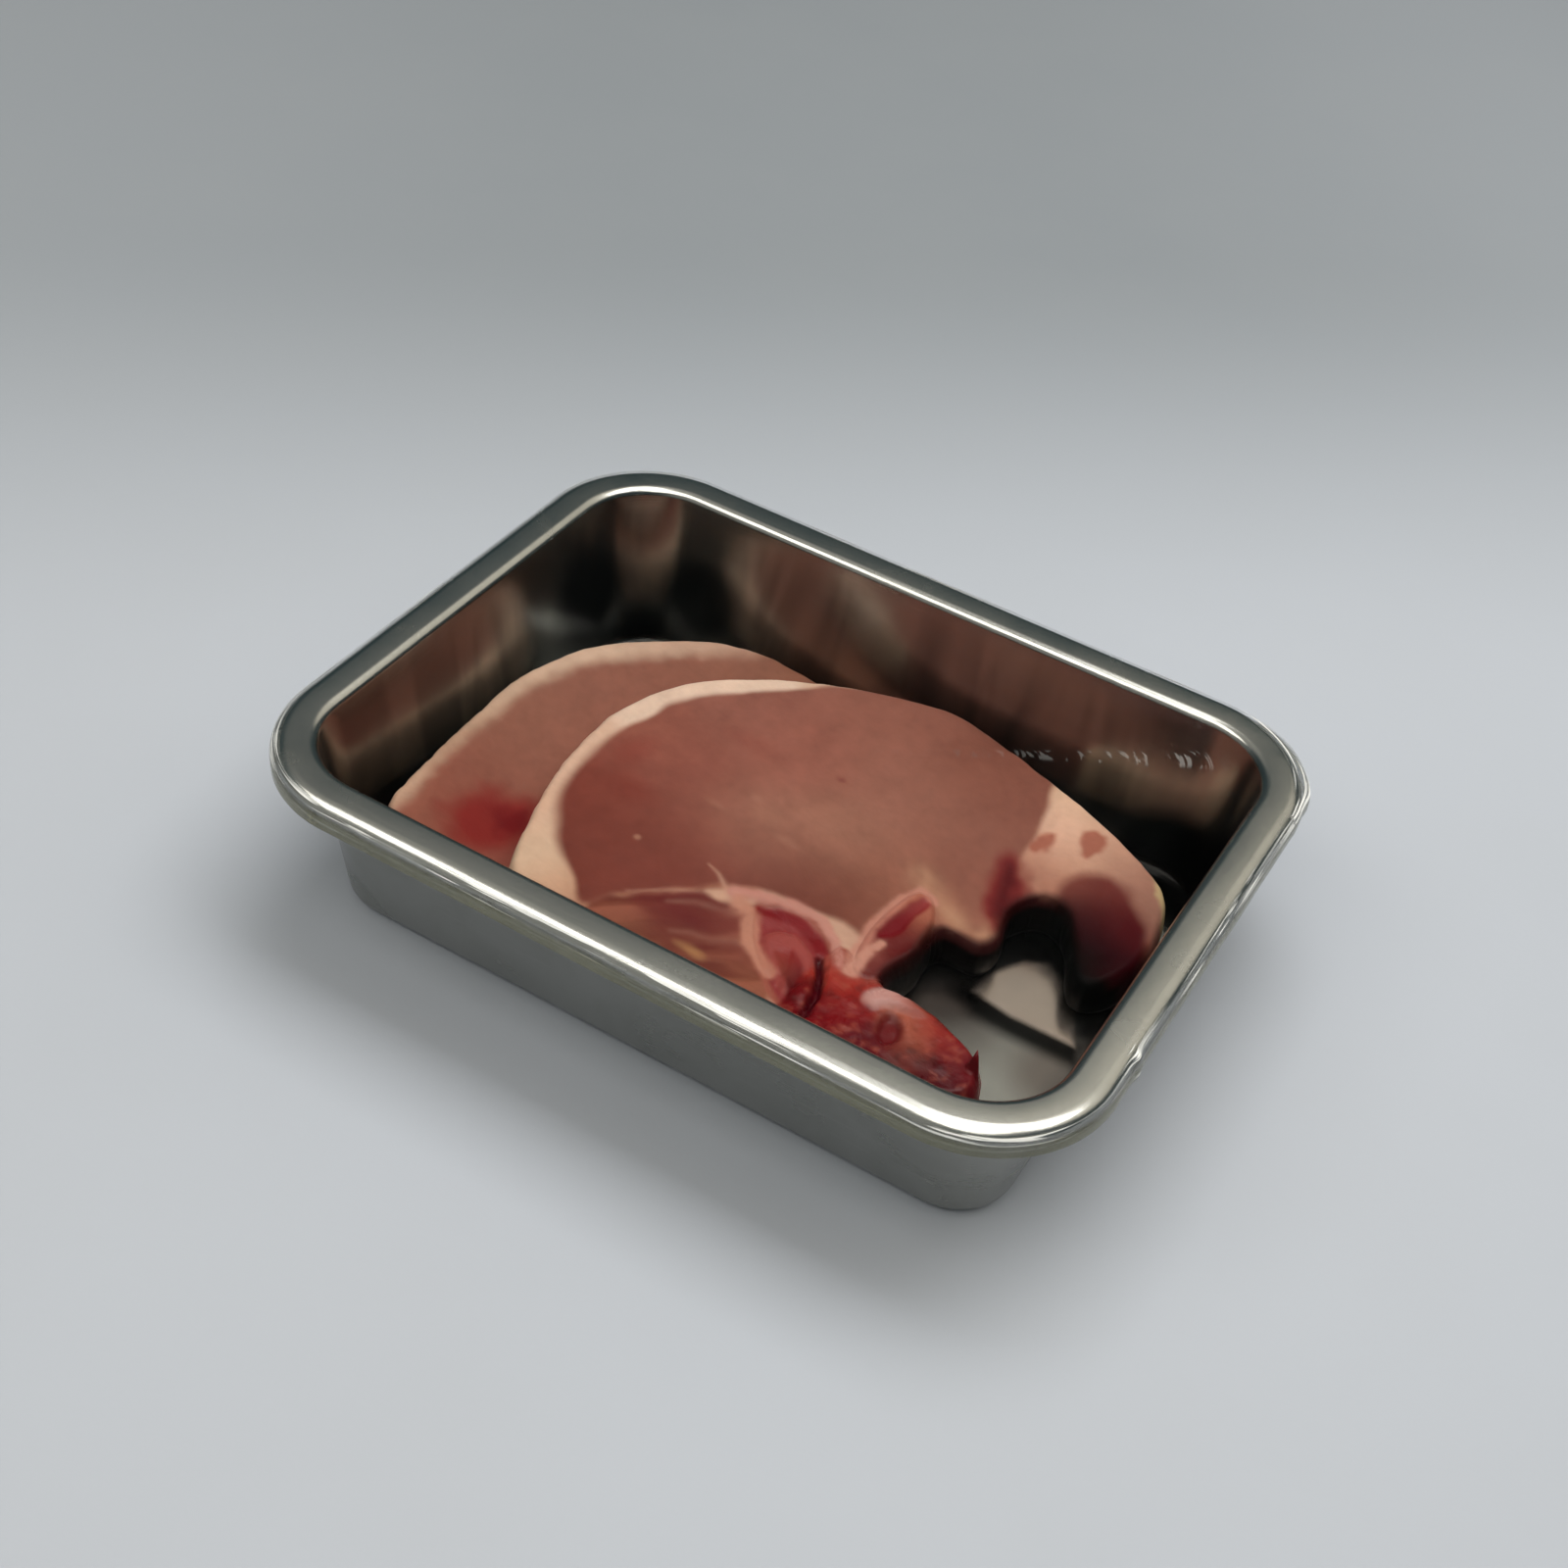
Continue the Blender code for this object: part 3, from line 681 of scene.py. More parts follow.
def ring_frame(side_points, corner_points):
    """The rim's outer rounded rectangle: points, outward normals and the run along it."""
    reach = np.array([LENGTH / 2 - RIM_CORNER, WIDTH / 2 - RIM_CORNER])
    centres = reach * np.array([(1, 1), (-1, 1), (-1, -1), (1, -1)])
    places, normals = [], []
    for quarter, (centre, after) in enumerate(zip(centres, np.roll(centres, -1, axis=0))):
        for step in range(corner_points + 1):
            angle = math.pi / 2 * (quarter + step / corner_points)
            normal = np.array([math.cos(angle), math.sin(angle)])
            places.append(centre + RIM_CORNER * normal)
            normals.append(normal)
        for step in range(1, side_points):
            places.append(centre + (after - centre) * step / side_points + RIM_CORNER * normal)
            normals.append(normal)
    places, normals = np.array(places), np.array(normals)
    gaps = np.linalg.norm(np.roll(places, -1, axis=0) - places, axis=1)
    return places, normals, np.concatenate([[0], np.cumsum(gaps[:-1])])


def offset_path(path, distance):
    """The path moved to its right by distance."""
    return path + distance * to_right(np.gradient(path, axis=0))


def swept_shell(path, under, places, normals):
    """A closed shell: path and under are the two faces' sections as (inset, height)."""
    count, top = len(places), len(path)
    rows = top + len(under)
    points, faces = [], []
    for inset, z in (*path, *under[::-1]):
        points += [(x, y, z) for x, y in places - normals * inset]
    following = [(i + 1) % count for i in range(count)]
    for row in range(rows):
        if row != top - 1:
            a, b = row * count, (row + 1) % rows * count
            faces += [(a + i, a + j, b + j, b + i) for i, j in enumerate(following)]
    for row, order in ((top - 1, 1), (top, -1)):
        a, centre = row * count, len(points)
        points.append(tuple(np.mean(points[a : a + count], axis=0)))
        faces += [(a + i, a + j, centre)[::order] for i, j in enumerate(following)]
    return np.array(points), faces


def tray_profile():
    lip = HEIGHT - RIM_DEPTH
    corners = (
        (RIM_CURL, lip),
        (0.0, lip),
        (0.0, HEIGHT),
        (RIM_WIDTH, HEIGHT),
        (RIM_WIDTH + DRAFT, SHEET),
        (RIM_WIDTH + DRAFT + 2 * FLOOR_FILLET, SHEET),
    )
    radii = (0.85 * RIM_CURL, 0.95 * RIM_SHOULDER, RIM_INNER_EDGE, FLOOR_FILLET)
    return rounded_path(corners, radii, 10)


def filled_in(path, step):
    """The path with its long straight runs cut into short ones."""
    made = [path[0]]
    for a, b in zip(path, path[1:]):
        count = max(1, int(np.linalg.norm(b - a) / step))
        made += [a + (b - a) * (i + 1) / count for i in range(count)]
    return np.array(made)


def steel_tray():
    path = filled_in(tray_profile(), TRAY_STEP)
    places, normals, _ = ring_frame(24, 24)
    points, faces = swept_shell(path, offset_path(path, SHEET), places, normals)
    made = new_piece("steel_tray", points, faces, steel_material(), "tray")
    x, y, z = points.T
    reach = np.maximum(np.abs(x) - (LENGTH / 2 - RIM_WIDTH), np.abs(y) - (WIDTH / 2 - RIM_WIDTH))
    number = np.arange(len(points))
    upper = (number < len(path) * len(places)) | (number == len(points) - 2)
    inside = smooth(0.001, -0.002, reach) * upper
    store(made, "inside", inside)
    store(made, "wall", inside * smooth(0.002, 0.008, z) * smooth(HEIGHT, HEIGHT - 0.002, z))


def wrap_film():
    """The stretch film, gathered in its skirt, bulging at the far corner and pinched once."""
    corners = (
        (SKIRT_TUCK, HEIGHT - SKIRT),
        (-FILM_OUT, HEIGHT - RIM_DEPTH - 1.4 * FILM_OUT),
        (-FILM_OUT, HEIGHT + FILM_OUT),
        (RIM_WIDTH + 0.004, HEIGHT + FILM_OUT),
        (RIM_WIDTH + 0.012, HEIGHT + FILM_OUT - 0.0001),
    )
    path = rounded_path(corners, (0.5 * SKIRT_TUCK, RIM_SHOULDER + FILM_OUT, 0.004), 12)
    path = filled_in(path, FILM_STEP)
    under = offset_path(path, FILM_BODY)
    places, normals, run = ring_frame(110, 48)
    points, faces = swept_shell(path, under, places, normals)
    count = len(places)
    number = np.arange(len(points))
    rows, column = number // count, number % count
    ring = rows < len(path) + len(under)
    lengths = np.concatenate([[0], np.cumsum(np.linalg.norm(np.diff(path, axis=0), axis=1))])
    across = np.concatenate([lengths, lengths[::-1], [0.0, 0.0]])[rows]
    drop = np.clip((HEIGHT + FILM_OUT - points[:, 2]) / SKIRT, 0, 1)
    ripple = np.stack([run[column] * 1000, drop * 6], axis=1)
    wave = rough_noise(ripple, 14.0, 7) * 0.00012 * smooth(0.02, 0.9, drop)
    lean_x, lean_y = normals[column].T
    far_corner = smooth(0.80, 0.98, (lean_x + lean_y) / math.sqrt(2))
    away = np.hypot(points[:, 0] - PINCH[0], points[:, 1] - PINCH[1])
    pinch = np.exp(-((away / PINCH_REACH) ** 2))
    wave += 0.0006 * pinch * smooth(0.02, 0.2, drop)
    wave += 0.0017 * far_corner * smooth(0.03, 0.4, drop) * (0.8 + 0.3 * noise(ripple, 4.0, 9))
    points[ring, :2] += normals[column[ring]] * wave[ring, None]
    made = new_piece("wrap_film", points, faces, film_material(), "film")
    hang = smooth(0.42, 0.62, drop) * (0.50 + 0.16 * noise(ripple, 12.0, 3))
    seam = np.exp(-(((points[:, 0] - SEAM_X) / 0.0004) ** 2)) * (points[:, 1] < SEAM_Y)
    hang = hang * (1 + 0.8 * seam)
    patchy = smooth(-0.4, 0.3, noise(ripple * np.array([1.0, 0.0]), 16.0, 5))
    # painted highlight: where the crease glint lines go, under the rim's shoulder, at the far
    # corner and at the pinch
    crease_glint_mask = smooth(0.10, 0.18, drop) * smooth(0.55, 0.40, drop) * (0.15 + 0.85 * patchy)
    crease_glint_mask = np.maximum(crease_glint_mask, far_corner * smooth(0.02, 0.1, drop))
    crease_glint_mask = np.maximum(crease_glint_mask, pinch * smooth(0.01, 0.05, drop))
    store(made, "gather", np.where(ring, np.clip(hang, 0, 1), 0))
    store(made, "crease_glint_mask", np.where(ring, np.clip(crease_glint_mask, 0, 1), 0))
    store(made, "bent", np.where(ring, smooth(0.0, 0.05, drop), 0) * 0.99 + 0.01)
    store(made, "along", run[column])
    store(made, "across", across)


# ---- The chops ----


def front_top(points):
    return pinned(points, FRONT_PINS)[:, 0]


def underside(top):
    return np.maximum(top - CHOP_THICKNESS, MEAT_FLOOR)


def back_top(points):
    """The back chop's upper face, pressed down where the front chop lies on it."""
    own = pinned(points, BACK_PINS)[:, 0]
    outside = np.maximum(signed(points, FRONT_CHOP), 0)
    cover = np.clip(1 - (outside - COVER_START) / COVER_EDGE, 0, 1)
    pressed = np.minimum(own, underside(front_top(points)) - CHOP_CLEARANCE)
    return own + (pressed - own) * cover


def hex_grid(outline, spacing):
    low, high = outline.min(axis=0), outline.max(axis=0)
    grid = []
    for index, y in enumerate(np.arange(low[1], high[1], spacing * math.sqrt(3) / 2)):
        grid += [(x, y) for x in np.arange(low[0] + index % 2 * spacing / 2, high[0], spacing)]
    return np.array(grid)


def plan_triangles(outline, regions, spacing):
    """The chop's plan cut into triangles that follow its outline and its regions' outlines."""
    lines = [resampled(outline, spacing)]
    lines += [resampled(closed_curve(corners), spacing) for corners in regions]
    grid = hex_grid(outline, spacing)
    keep = is_inside(grid, outline)
    for line in lines:
        keep &= line_distance(grid, line, closed=True) > 0.55 * spacing
    points, edges = [], []
    for line in lines:
        first = len(points)
        points += [tuple(p) for p in line]
        edges += [(first + i, first + (i + 1) % len(line)) for i in range(len(line))]
    points += [tuple(p) for p in grid[keep]]
    flat, _, faces, *_ = delaunay_2d_cdt([Vector(p) for p in points], edges, [], 0, 1e-4)
    verts = np.array([(p[0], p[1]) for p in flat])
    tris = np.array([f for f in faces if len(f) == 3])
    a, b, c = (verts[tris[:, i]] for i in range(3))
    area = (b[:, 0] - a[:, 0]) * (c[:, 1] - a[:, 1]) - (b[:, 1] - a[:, 1]) * (c[:, 0] - a[:, 0])
    tris[area < 0] = tris[area < 0][:, ::-1]
    centres = verts[tris].mean(axis=1)
    inside = is_inside(centres, lines[0]) & (np.abs(area) > 1e-9)
    tris, centres = tris[inside], centres[inside]
    label = np.full(len(tris), len(regions))
    for number in reversed(range(len(regions))):
        label[is_inside(centres, lines[number + 1])] = number
    return verts, tris, label


def directed_edges(tris):
    return np.concatenate([tris[:, [0, 1]], tris[:, [1, 2]], tris[:, [2, 0]]])


def pair(a, b):
    """An edge's two ends, the lower first."""
    return (min(a, b), max(a, b))


def refined(verts, tris):
    """Each triangle cut into four, and the middle point of each edge by its two ends."""
    ends = directed_edges(tris)
    unique, index = np.unique(np.sort(ends, axis=1), axis=0, return_inverse=True)
    middle = len(verts) + index.reshape(3, -1).T
    a, b, c = tris.T
    ab, bc, ca = middle.T
    quarters = ((a, ab, ca), (ab, b, bc), (ca, bc, c), (ab, bc, ca))
    fine = np.stack([np.stack(corners, 1) for corners in quarters], axis=1).reshape(-1, 3)
    halves = {(int(p), int(q)): len(verts) + i for i, (p, q) in enumerate(unique)}
    return np.concatenate([verts, verts[unique].mean(axis=1)]), fine, halves


def boundary(tris):
    """The directed edges that only one of the triangles has."""
    have = {(int(a), int(b)) for a, b in directed_edges(tris)}
    return [(a, b) for a, b in have if (b, a) not in have]


def outward(points, outline):
    """The outline's outward normal nearest to each point."""
    following = np.roll(outline, -1, axis=0)
    run = following - outline
    normal = to_right(run[run_distances(points, outline, run).argmin(axis=1)])
    area = (outline[:, 0] * following[:, 1] - following[:, 0] * outline[:, 1]).sum()
    return normal if area > 0 else -normal


def side_strips(chains, index, column, below, on_edge):
    """The triangles of a piece's cut side, and the upper edges that only its neighbours hide."""
    rows = len(WALL_ROWS)
    strips, sharp = [], []
    for chain in chains:
        hidden = not (on_edge[chain[0]] and on_edge[chain[-1]] and on_edge[chain[2]])
        for p, q in zip(chain, chain[1:]):
            left = [index[p]] + [column[p] + k for k in range(rows)]
            right = [index[q]] + [column[q] + k for k in range(rows)]
            for k in range(rows):
                strips.append((right[k], left[k], left[k + 1]))
                strips.append((right[k], left[k + 1], right[k + 1]))
            if hidden:
                sharp.append((index[p], index[q]))
        f = [column[v] + rows - 1 for v in chain]
        start, end = below[chain[0]], below[chain[-1]]
        strips += [(f[1], f[0], start), (f[2], f[1], start), (f[2], start, end)]
        strips += [(f[3], f[2], end), (f[4], f[3], end)]
    return strips, sharp


def chop_pieces(outline, regions, names, top, relief, paint, spacing, materials):
    """One closed piece for each region of a chop, all cut from one smooth slab."""
    rim = resampled(outline, spacing)
    coarse, base, label = plan_triangles(outline, regions, spacing)
    middle, once, halves = refined(coarse, base)
    fine, twice, quarters = refined(middle, once)
    inner = line_distance(fine, rim, closed=True)
    near = np.clip(inner / EDGE_ROUND, 0, 1)
    drop = EDGE_ROUND * (1 - np.sqrt(1 - (1 - near) ** 2))
    plain = top(fine)
    low = underside(plain)
    high = np.maximum(plain - drop + relief(fine) * smooth(0, 2.0, inner), low + EDGE_ROUND / 2)
    tone, wet, side = paint(fine, inner)
    # painted shade: the cut side's colour times the paint's third value
    side_tone = tone * side[:, None]
    on_edge = inner < ON_EDGE
    normals = np.zeros_like(fine)
    normals[on_edge] = outward(fine[on_edge], rim)
    rows = len(WALL_ROWS)
    for number, (name, node, slot_name) in enumerate(names):
        chosen = base[label == number]
        top_tris = twice[np.repeat(label, len(twice) // len(base)) == number]
        used = np.unique(top_tris)
        index = -np.ones(len(fine), int)
        index[used] = np.arange(len(used))
        chains = []
        for a, b in boundary(chosen):
            m = halves[pair(a, b)]
            chains.append((a, quarters[pair(a, m)], m, quarters[pair(b, m)], b))
        keys = np.array(sorted({v for chain in chains for v in chain}))
        column = {int(v): len(used) + i * rows for i, v in enumerate(keys)}
        wall = np.zeros((len(keys), rows, 3))
        for k, (share, bulge) in enumerate(zip(WALL_ROWS, WALL_BULGE)):
            wall[:, k, :2] = fine[keys] + bulge * normals[keys]
            wall[:, k, 2] = high[keys] + (low[keys] - high[keys]) * share
        under = np.unique(chosen)
        below = {int(v): len(used) + len(keys) * rows + i for i, v in enumerate(under)}
        sunk = coarse[under] - 0.5 * normals[under]
        points = np.concatenate(
            [
                np.column_stack([fine[used], high[used]]),
                wall.reshape(-1, 3),
                np.column_stack([sunk, low[under]]),
            ]
        )
        strips, sharp = side_strips(chains, index, column, below, on_edge)
        lower = np.vectorize(below.get)(chosen)
        faces = np.concatenate([index[top_tris], lower[:, ::-1], np.array(strips)])
        material = materials[slot_name != "bone"]
        piece = new_piece(name, points * MM, faces, material, node)
        side_tones = (np.repeat(side_tone[keys], rows, axis=0), side_tone[under])
        store_colour(piece, "tone", np.concatenate([tone[used], *side_tones]))
        store(piece, "wet", np.concatenate([wet[used], np.zeros(len(keys) * rows + len(under))]))
        mark_sharp(piece.data, sharp)


def mark_sharp(mesh, pairs):
    """The edges between these vertices shaded sharp, so a hidden cut wall doesn't tilt the face."""
    wanted = {pair(p, q) for p, q in pairs}
    ends = np.zeros(len(mesh.edges) * 2, np.int32)
    mesh.edges.foreach_get("vertices", ends)
    ends = np.sort(ends.reshape(-1, 2), axis=1)
    flags = np.array([(int(a), int(b)) in wanted for a, b in ends], bool)
    known = mesh.attributes
    layer = known.get("sharp_edge") or known.new("sharp_edge", "BOOLEAN", "EDGE")
    layer.data.foreach_set("value", flags)


def front_relief(points):
    """Height of the front chop's face over its smooth form."""
    loin = signed(points, EYE_EDGE)
    slit = line_distance(points, np.array(SLIT, float))
    height = 0.30 * rough_noise(points, 12, 21) + 0.05 * noise(points, 2.2, 25)
    height -= 0.15 * np.exp(-((loin / 1.4) ** 2))
    height += 0.30 * smooth(0.5, 3.0, loin) * edge(points, FLANK_EDGE, 0.0, 1.0)
    height += 0.22 * flank_strands(points) * edge(points, FLANK_EDGE, 0.5, -1.0)
    height += 0.35 * stroke(points, RIB_TOP, 1.5, 1.0) + 0.3 * stroke(points, RIB_SIDE, 1.5, 1.1)
    height += 0.6 * edge(points, RIB_OVAL, 0.8, -1.2) - 0.3 * edge(points, RIB_MARROW, 0.2, -1.4)
    height -= 0.25 * edge(points, RIB_BONE, 0.5, -0.5) * edge(points, RIB_OVAL, -0.5, 0.8)
    height -= 1.7 * np.exp(-((slit / 0.8) ** 2))
    height += 0.9 * edge(points, ARCH_BONE, 0.3, -1.2) - 0.4 * edge(points, ARCH_MARROW, 0.3, -0.9)
    body = np.minimum(signed(points, VERTEBRA), 0)
    height += 1.6 * (1 - np.exp(body / 3.5)) * edge(points, VERTEBRA, 0.5, -1.0)
    height += 0.25 * rough_noise(points, 3.0, 31) * edge(points, VERTEBRA, 0.5, -0.5)
    height += 1.1 * edge(points, CARTILAGE, 0.8, -1.8) - 1.3 * edge(points, MARROW_HOLE, 0.5, -1.4)
    spike = np.hypot((points[:, 0] - 60.0) / 1.6, (points[:, 1] + 31.0) / 1.3)
    return height + 6.0 * smooth(1.15, 0.0, spike)


def flank_strands(points):
    """Strands of the flank, -1 to 1, that fan out from the bone towards the fat."""
    along = np.array([0.74, 0.67])
    across = points @ np.array([-along[1], along[0]]) - 3.0 * noise(points, 14, 41)
    run = points @ along
    return noise(np.stack([across, run * 0.16], axis=1), 2.3, 43)


def stroke(points, line, wide, thin):
    """Weight of a soft brush stroke whose half width runs from wide to thin along the line."""
    line = np.array(line, float)
    lengths = np.linalg.norm(np.diff(line, axis=0), axis=1)
    begin = np.concatenate([[0], np.cumsum(lengths)]) / lengths.sum()
    weight = np.zeros(len(points))
    for index, (a, b) in enumerate(zip(line, line[1:])):
        share = np.clip((points - a) @ (b - a) / lengths[index] ** 2, 0, 1)
        away = np.linalg.norm(points - a - share[:, None] * (b - a), axis=1)
        place = begin[index] + share * (begin[index + 1] - begin[index])
        weight = np.maximum(weight, np.exp(-((away / (wide + (thin - wide) * place)) ** 2)))
    return weight


def spot(points, x, y, reach_x, reach_y):
    """Weight of a soft uneven spot."""
    away = np.hypot((points[:, 0] - x) / reach_x, (points[:, 1] - y) / reach_y)
    return smooth(1.6, 0.2, away + 0.25 * noise(points, max(reach_x, reach_y), 75))


def stained(colour, points, stains):
    for *where, strength, rgb in stains:
        colour = tinted(colour, rgb, strength * spot(points, *where))
    return colour


def front_paint(points, inner):
    """The front chop's colour, its wetness, and the painted shade that darkens its cut side along
    the bay.
    """
    fat = pinned_colour(points, FRONT_FAT, 5.0)
    fat = fat * (1 + 0.07 * rough_noise(points, 3.2, 54))[:, None]
    lean = pinned_colour(points, FRONT_LEAN, 8.0)
    mottle = 0.06 * rough_noise(points, 9, 57) + 0.08 * rough_noise(points, 4, 58)
    lean = lean * (1.0 + mottle + 0.035 * noise(points, 1.6, 59))[:, None]
    lean = stained(lean, points, EYE_STAINS)
    meat = pinned_colour(points, FLANK_MEAT, 4.0)
    strand = flank_strands(points)
    meat = tinted(meat, (160, 94, 74), 0.50 * smooth(0.1, 0.8, strand))
    meat = tinted(meat, (84, 24, 26), 0.50 * smooth(-0.1, -0.8, strand))
    meat = stained(meat, points, FLANK_STAINS)
    colour = blended(fat, meat, edge(points, FLANK_EDGE, 1.5, -1.2, 0.6 * noise(points, 2.4, 52)))
    eye = signed(points, EYE_EDGE) + 0.7 * noise(points, 6.0, 51)
    soft = 1.0 + 0.9 * smooth(-26, -34, points[:, 0]) * smooth(0, -20, points[:, 1])
    colour = blended(colour, lean, smooth(1.0, -1.0, eye / soft))
    for number, (line, wide, thin, strength) in enumerate(SINEWS):
        weight = strength * stroke(points, line, wide, thin)
        colour = tinted(colour, (190, 140, 118), weight * (0.8 + 0.2 * noise(points, 2, number)))
    joint = edge(points, JOINT, 0.9, -0.9, 0.4 * noise(points, 2.0, 69))
    colour = tinted(colour, (204, 156, 130), 0.9 * joint)
    colour = tail_paint(colour, points)
    colour = bones(colour, points)
    # painted shade: the top darkens to near black towards the cut edge along the bay
    shade = smooth(3.4, 0.3, inner) * edge(points, BAY, 1.2, -1.2)
    colour = blended(colour, colour * np.array([0.10, 0.04, 0.06]), shade)
    wet = 0.35 + 0.4 * edge(points, VERTEBRA, 0.5, -1.5) + 0.2 * noise(points, 6, 71)
    # the third value is painted shade: the cut side darkens along the bay
    return np.clip(colour, 0.001, 1), np.clip(wet, 0, 1), 1 - 0.96 * edge(points, BAY, 3.5, 1.0)


def tail_paint(colour, points):
    """The tail's dark red muscle, painted down to near black as shade towards the bay, its two
    islands, the bay's dark red edge with painted shade, and the nub of fat.
    """
    for island in TAIL_ISLANDS:
        away = edge(points, island, 0.8, -0.8, 0.4 * noise(points, 1.5, 63))
        colour = tinted(colour, (158, 88, 70), 0.9 * away)
    yellow = edge(points, YELLOW_NUB, 0.8, -0.8, 0.4 * noise(points, 1.5, 62))
    colour = tinted(colour, (196, 168, 122), 0.90 * yellow)
    tail = signed(points, TAIL_MUSCLE) + 0.5 * noise(points, 3.5, 61)
    tail = smooth(1.6 + 1.4 * noise(points, 5, 66), -2.2, tail)
    # painted shade: the tail's reds run down to near black towards the bay
    colour = blended(colour, pinned_colour(points, TAIL_REDS_AND_SHADE, 4.0), tail)
    nub = stroke(points, NUB_FAT, 3.2, 1.8)
    colour = tinted(colour, (188, 138, 108), 0.7 * nub * (0.75 + 0.25 * noise(points, 2, 67)))
    # painted shade: the notch at the bay's edge goes dark red, then near black at its core
    notch_red_and_shade = signed(points, NOTCH_RED) + 0.9 * noise(points, 2.5, 65)
    colour = tinted(colour, (114, 22, 26), 0.85 * smooth(3.6, -0.6, notch_red_and_shade))
    return tinted(colour, (54, 2, 9), 0.7 * smooth(1.2, -2.8, notch_red_and_shade))


def bones(colour, points):
    """The cut rib, neural arch and vertebra, with their marrow, cartilage and blood."""
    uneven = 0.25 * noise(points, 1.8, 53)
    grain = rough_noise(points, 2.0, 91)
    colour = tinted(colour, (150, 80, 66), edge(points, RIB_BONE, 1.6, 0.4, uneven))
    colour = tinted(colour, (138, 50, 50), edge(points, RIB_BONE, 0.0, -1.2, uneven))
    band = stroke(points, RIB_BAND, 1.2, 1.8)
    colour = tinted(colour, (120, 16, 22), 0.95 * smooth(0.1, 0.7, band))
    colour = tinted(colour, (154, 70, 64), edge(points, RIB_OVAL, 0.9, -0.1, uneven))
    marrow = edge(points, RIB_MARROW, 0.9, -0.7, uneven)
    colour = blended(colour, pinned_colour(points, RIB_REDS, 2.5), marrow)
    bloody = pinned_colour(points, VERTEBRA_REDS, 2.6)
    bloody = blended(bloody, bloody * 0.45, 0.7 * smooth(0.0, 0.7, grain))
    bloody = tinted(bloody, (168, 84, 66), 0.45 * smooth(-0.15, -0.7, grain))
    colour = blended(colour, bloody, edge(points, VERTEBRA, 0.6, -0.8, uneven))
    cap = tinted(srgb(196, 146, 136), (156, 80, 66), smooth(38, 45, points[:, 0]))
    colour = blended(colour, cap, edge(points, CARTILAGE, 0.9, -0.9, uneven))
    colour = tinted(colour, (98, 16, 24), 0.92 * edge(points, MARROW_HOLE, 1.5, -1.3, uneven))
    arch = pinned_colour(points, ARCH_REDS, 2.5)
    colour = blended(colour, arch, edge(points, ARCH_BONE, 0.6, -0.8, uneven))
    red = tinted(srgb(112, 12, 22), (140, 50, 48), smooth(-6, 4, points[:, 1]))
    colour = blended(colour, red, edge(points, ARCH_MARROW, 0.8, -0.6, uneven))
    fray = 0.55 * rough_noise(points, 2.6, 97)
    for line, wide, thin, rgb in BONE_RIMS:
        weight = stroke(points, line, wide, thin)
        colour = tinted(colour, rgb, 0.9 * smooth(0.05, 0.75, weight + fray * weight))
    return tinted(colour, (70, 4, 14), smooth(0.2, 0.8, stroke(points, SLIT, 0.9, 1.3)))


def back_relief(points):
    loin = signed(points, BACK_LOIN)
    height = 0.35 * rough_noise(points, 12, 121) + 0.08 * noise(points, 2.2, 125)
    return height - 0.12 * np.exp(-((loin / 1.5) ** 2)) + 0.25 * smooth(0.5, 3.0, loin)


def back_paint(points, _inner):
    """The back chop's colour and wetness; its cut side gets no painted shade."""
    loin = signed(points, BACK_LOIN) + 0.5 * noise(points, 2.5, 151)
    lean = pinned_colour(points, BACK_LEAN, 10.0)
    lean = lean * (1 + 0.07 * rough_noise(points, 8, 157) + 0.05 * noise(points, 1.4, 159))[:, None]
    fat = pinned_colour(points, BACK_FAT, 10.0)
    fat = fat * (1 + 0.08 * rough_noise(points, 3, 154))[:, None]
    colour = blended(fat, lean, smooth(2.0, -2.4, loin - 0.5))
    blood = edge(points, BLOOD_PATCH, 3.6, -3.4, 1.5 * noise(points, 3.5, 161))
    colour = tinted(colour, (126, 32, 30), 0.88 * blood)
    core = np.hypot(points[:, 0] + 50, points[:, 1] + 27) - 4 + 1.2 * noise(points, 2.2, 163)
    colour = tinted(colour, (96, 12, 18), 0.7 * smooth(2.0, -2.5, core))
    wet = 0.4 + 0.2 * noise(points, 6, 171)
    return np.clip(colour, 0.001, 1), np.clip(wet, 0, 1), np.ones(len(points))


def wobbly(corners, seed):
    """The chop's own outline with the small unevenness of a cut edge."""
    outline = resampled(closed_curve(corners), 0.9)
    normal = to_right(np.roll(outline, -1, axis=0) - np.roll(outline, 1, axis=0))
    return outline + normal * (0.36 * rough_noise(outline, 4.0, seed))[:, None]


def chops():
    meat = meat_material("pork", 0.025, 0.42, (0.71, 0.765, 0.80))
    bone = meat_material("pork_bone", 0.11, 0.36, (0.66, 0.64, 0.66))
    chop_pieces(
        wobbly(FRONT_CHOP, 301),
        (RIB_BONE, ARCH_BONE, VERTEBRA, FRONT_LOIN, FRONT_FLANK, FRONT_CAP),
        (
            ("rib_bone", "front_rib_bone", "bone"),
            ("arch_bone", "front_arch_bone", "bone"),
            ("vertebra_bone", "front_vertebra", "bone"),
            ("front_eye", "front_loin", "lean"),
            ("front_flank_meat", "front_flank", "flank"),
            ("front_cap_fat", "front_fat_cap", "fat"),
            ("front_tail_fat", "front_tail", "fat"),
        ),
        front_top, front_relief, front_paint, 1.9, (bone, meat),
    )
    chop_pieces(
        wobbly(BACK_CHOP, 302),
        (BACK_LOIN,),
        (("back_eye", "back_loin", "lean"), ("back_cap_fat", "back_fat_cap", "fat")),
        back_top, back_relief, back_paint, 2.4, (bone, meat),
    )


# ---- Stage, light and camera ----

# The room's colour from below to overhead.
ROOM_STOPS = (
    (0.00, (0.030, 0.052, 0.057)),
    (0.55, (0.055, 0.088, 0.096)),
    (0.63, (0.130, 0.150, 0.150)),
    (0.70, (0.270, 0.275, 0.260)),
    (0.82, (0.480, 0.465, 0.420)),
)
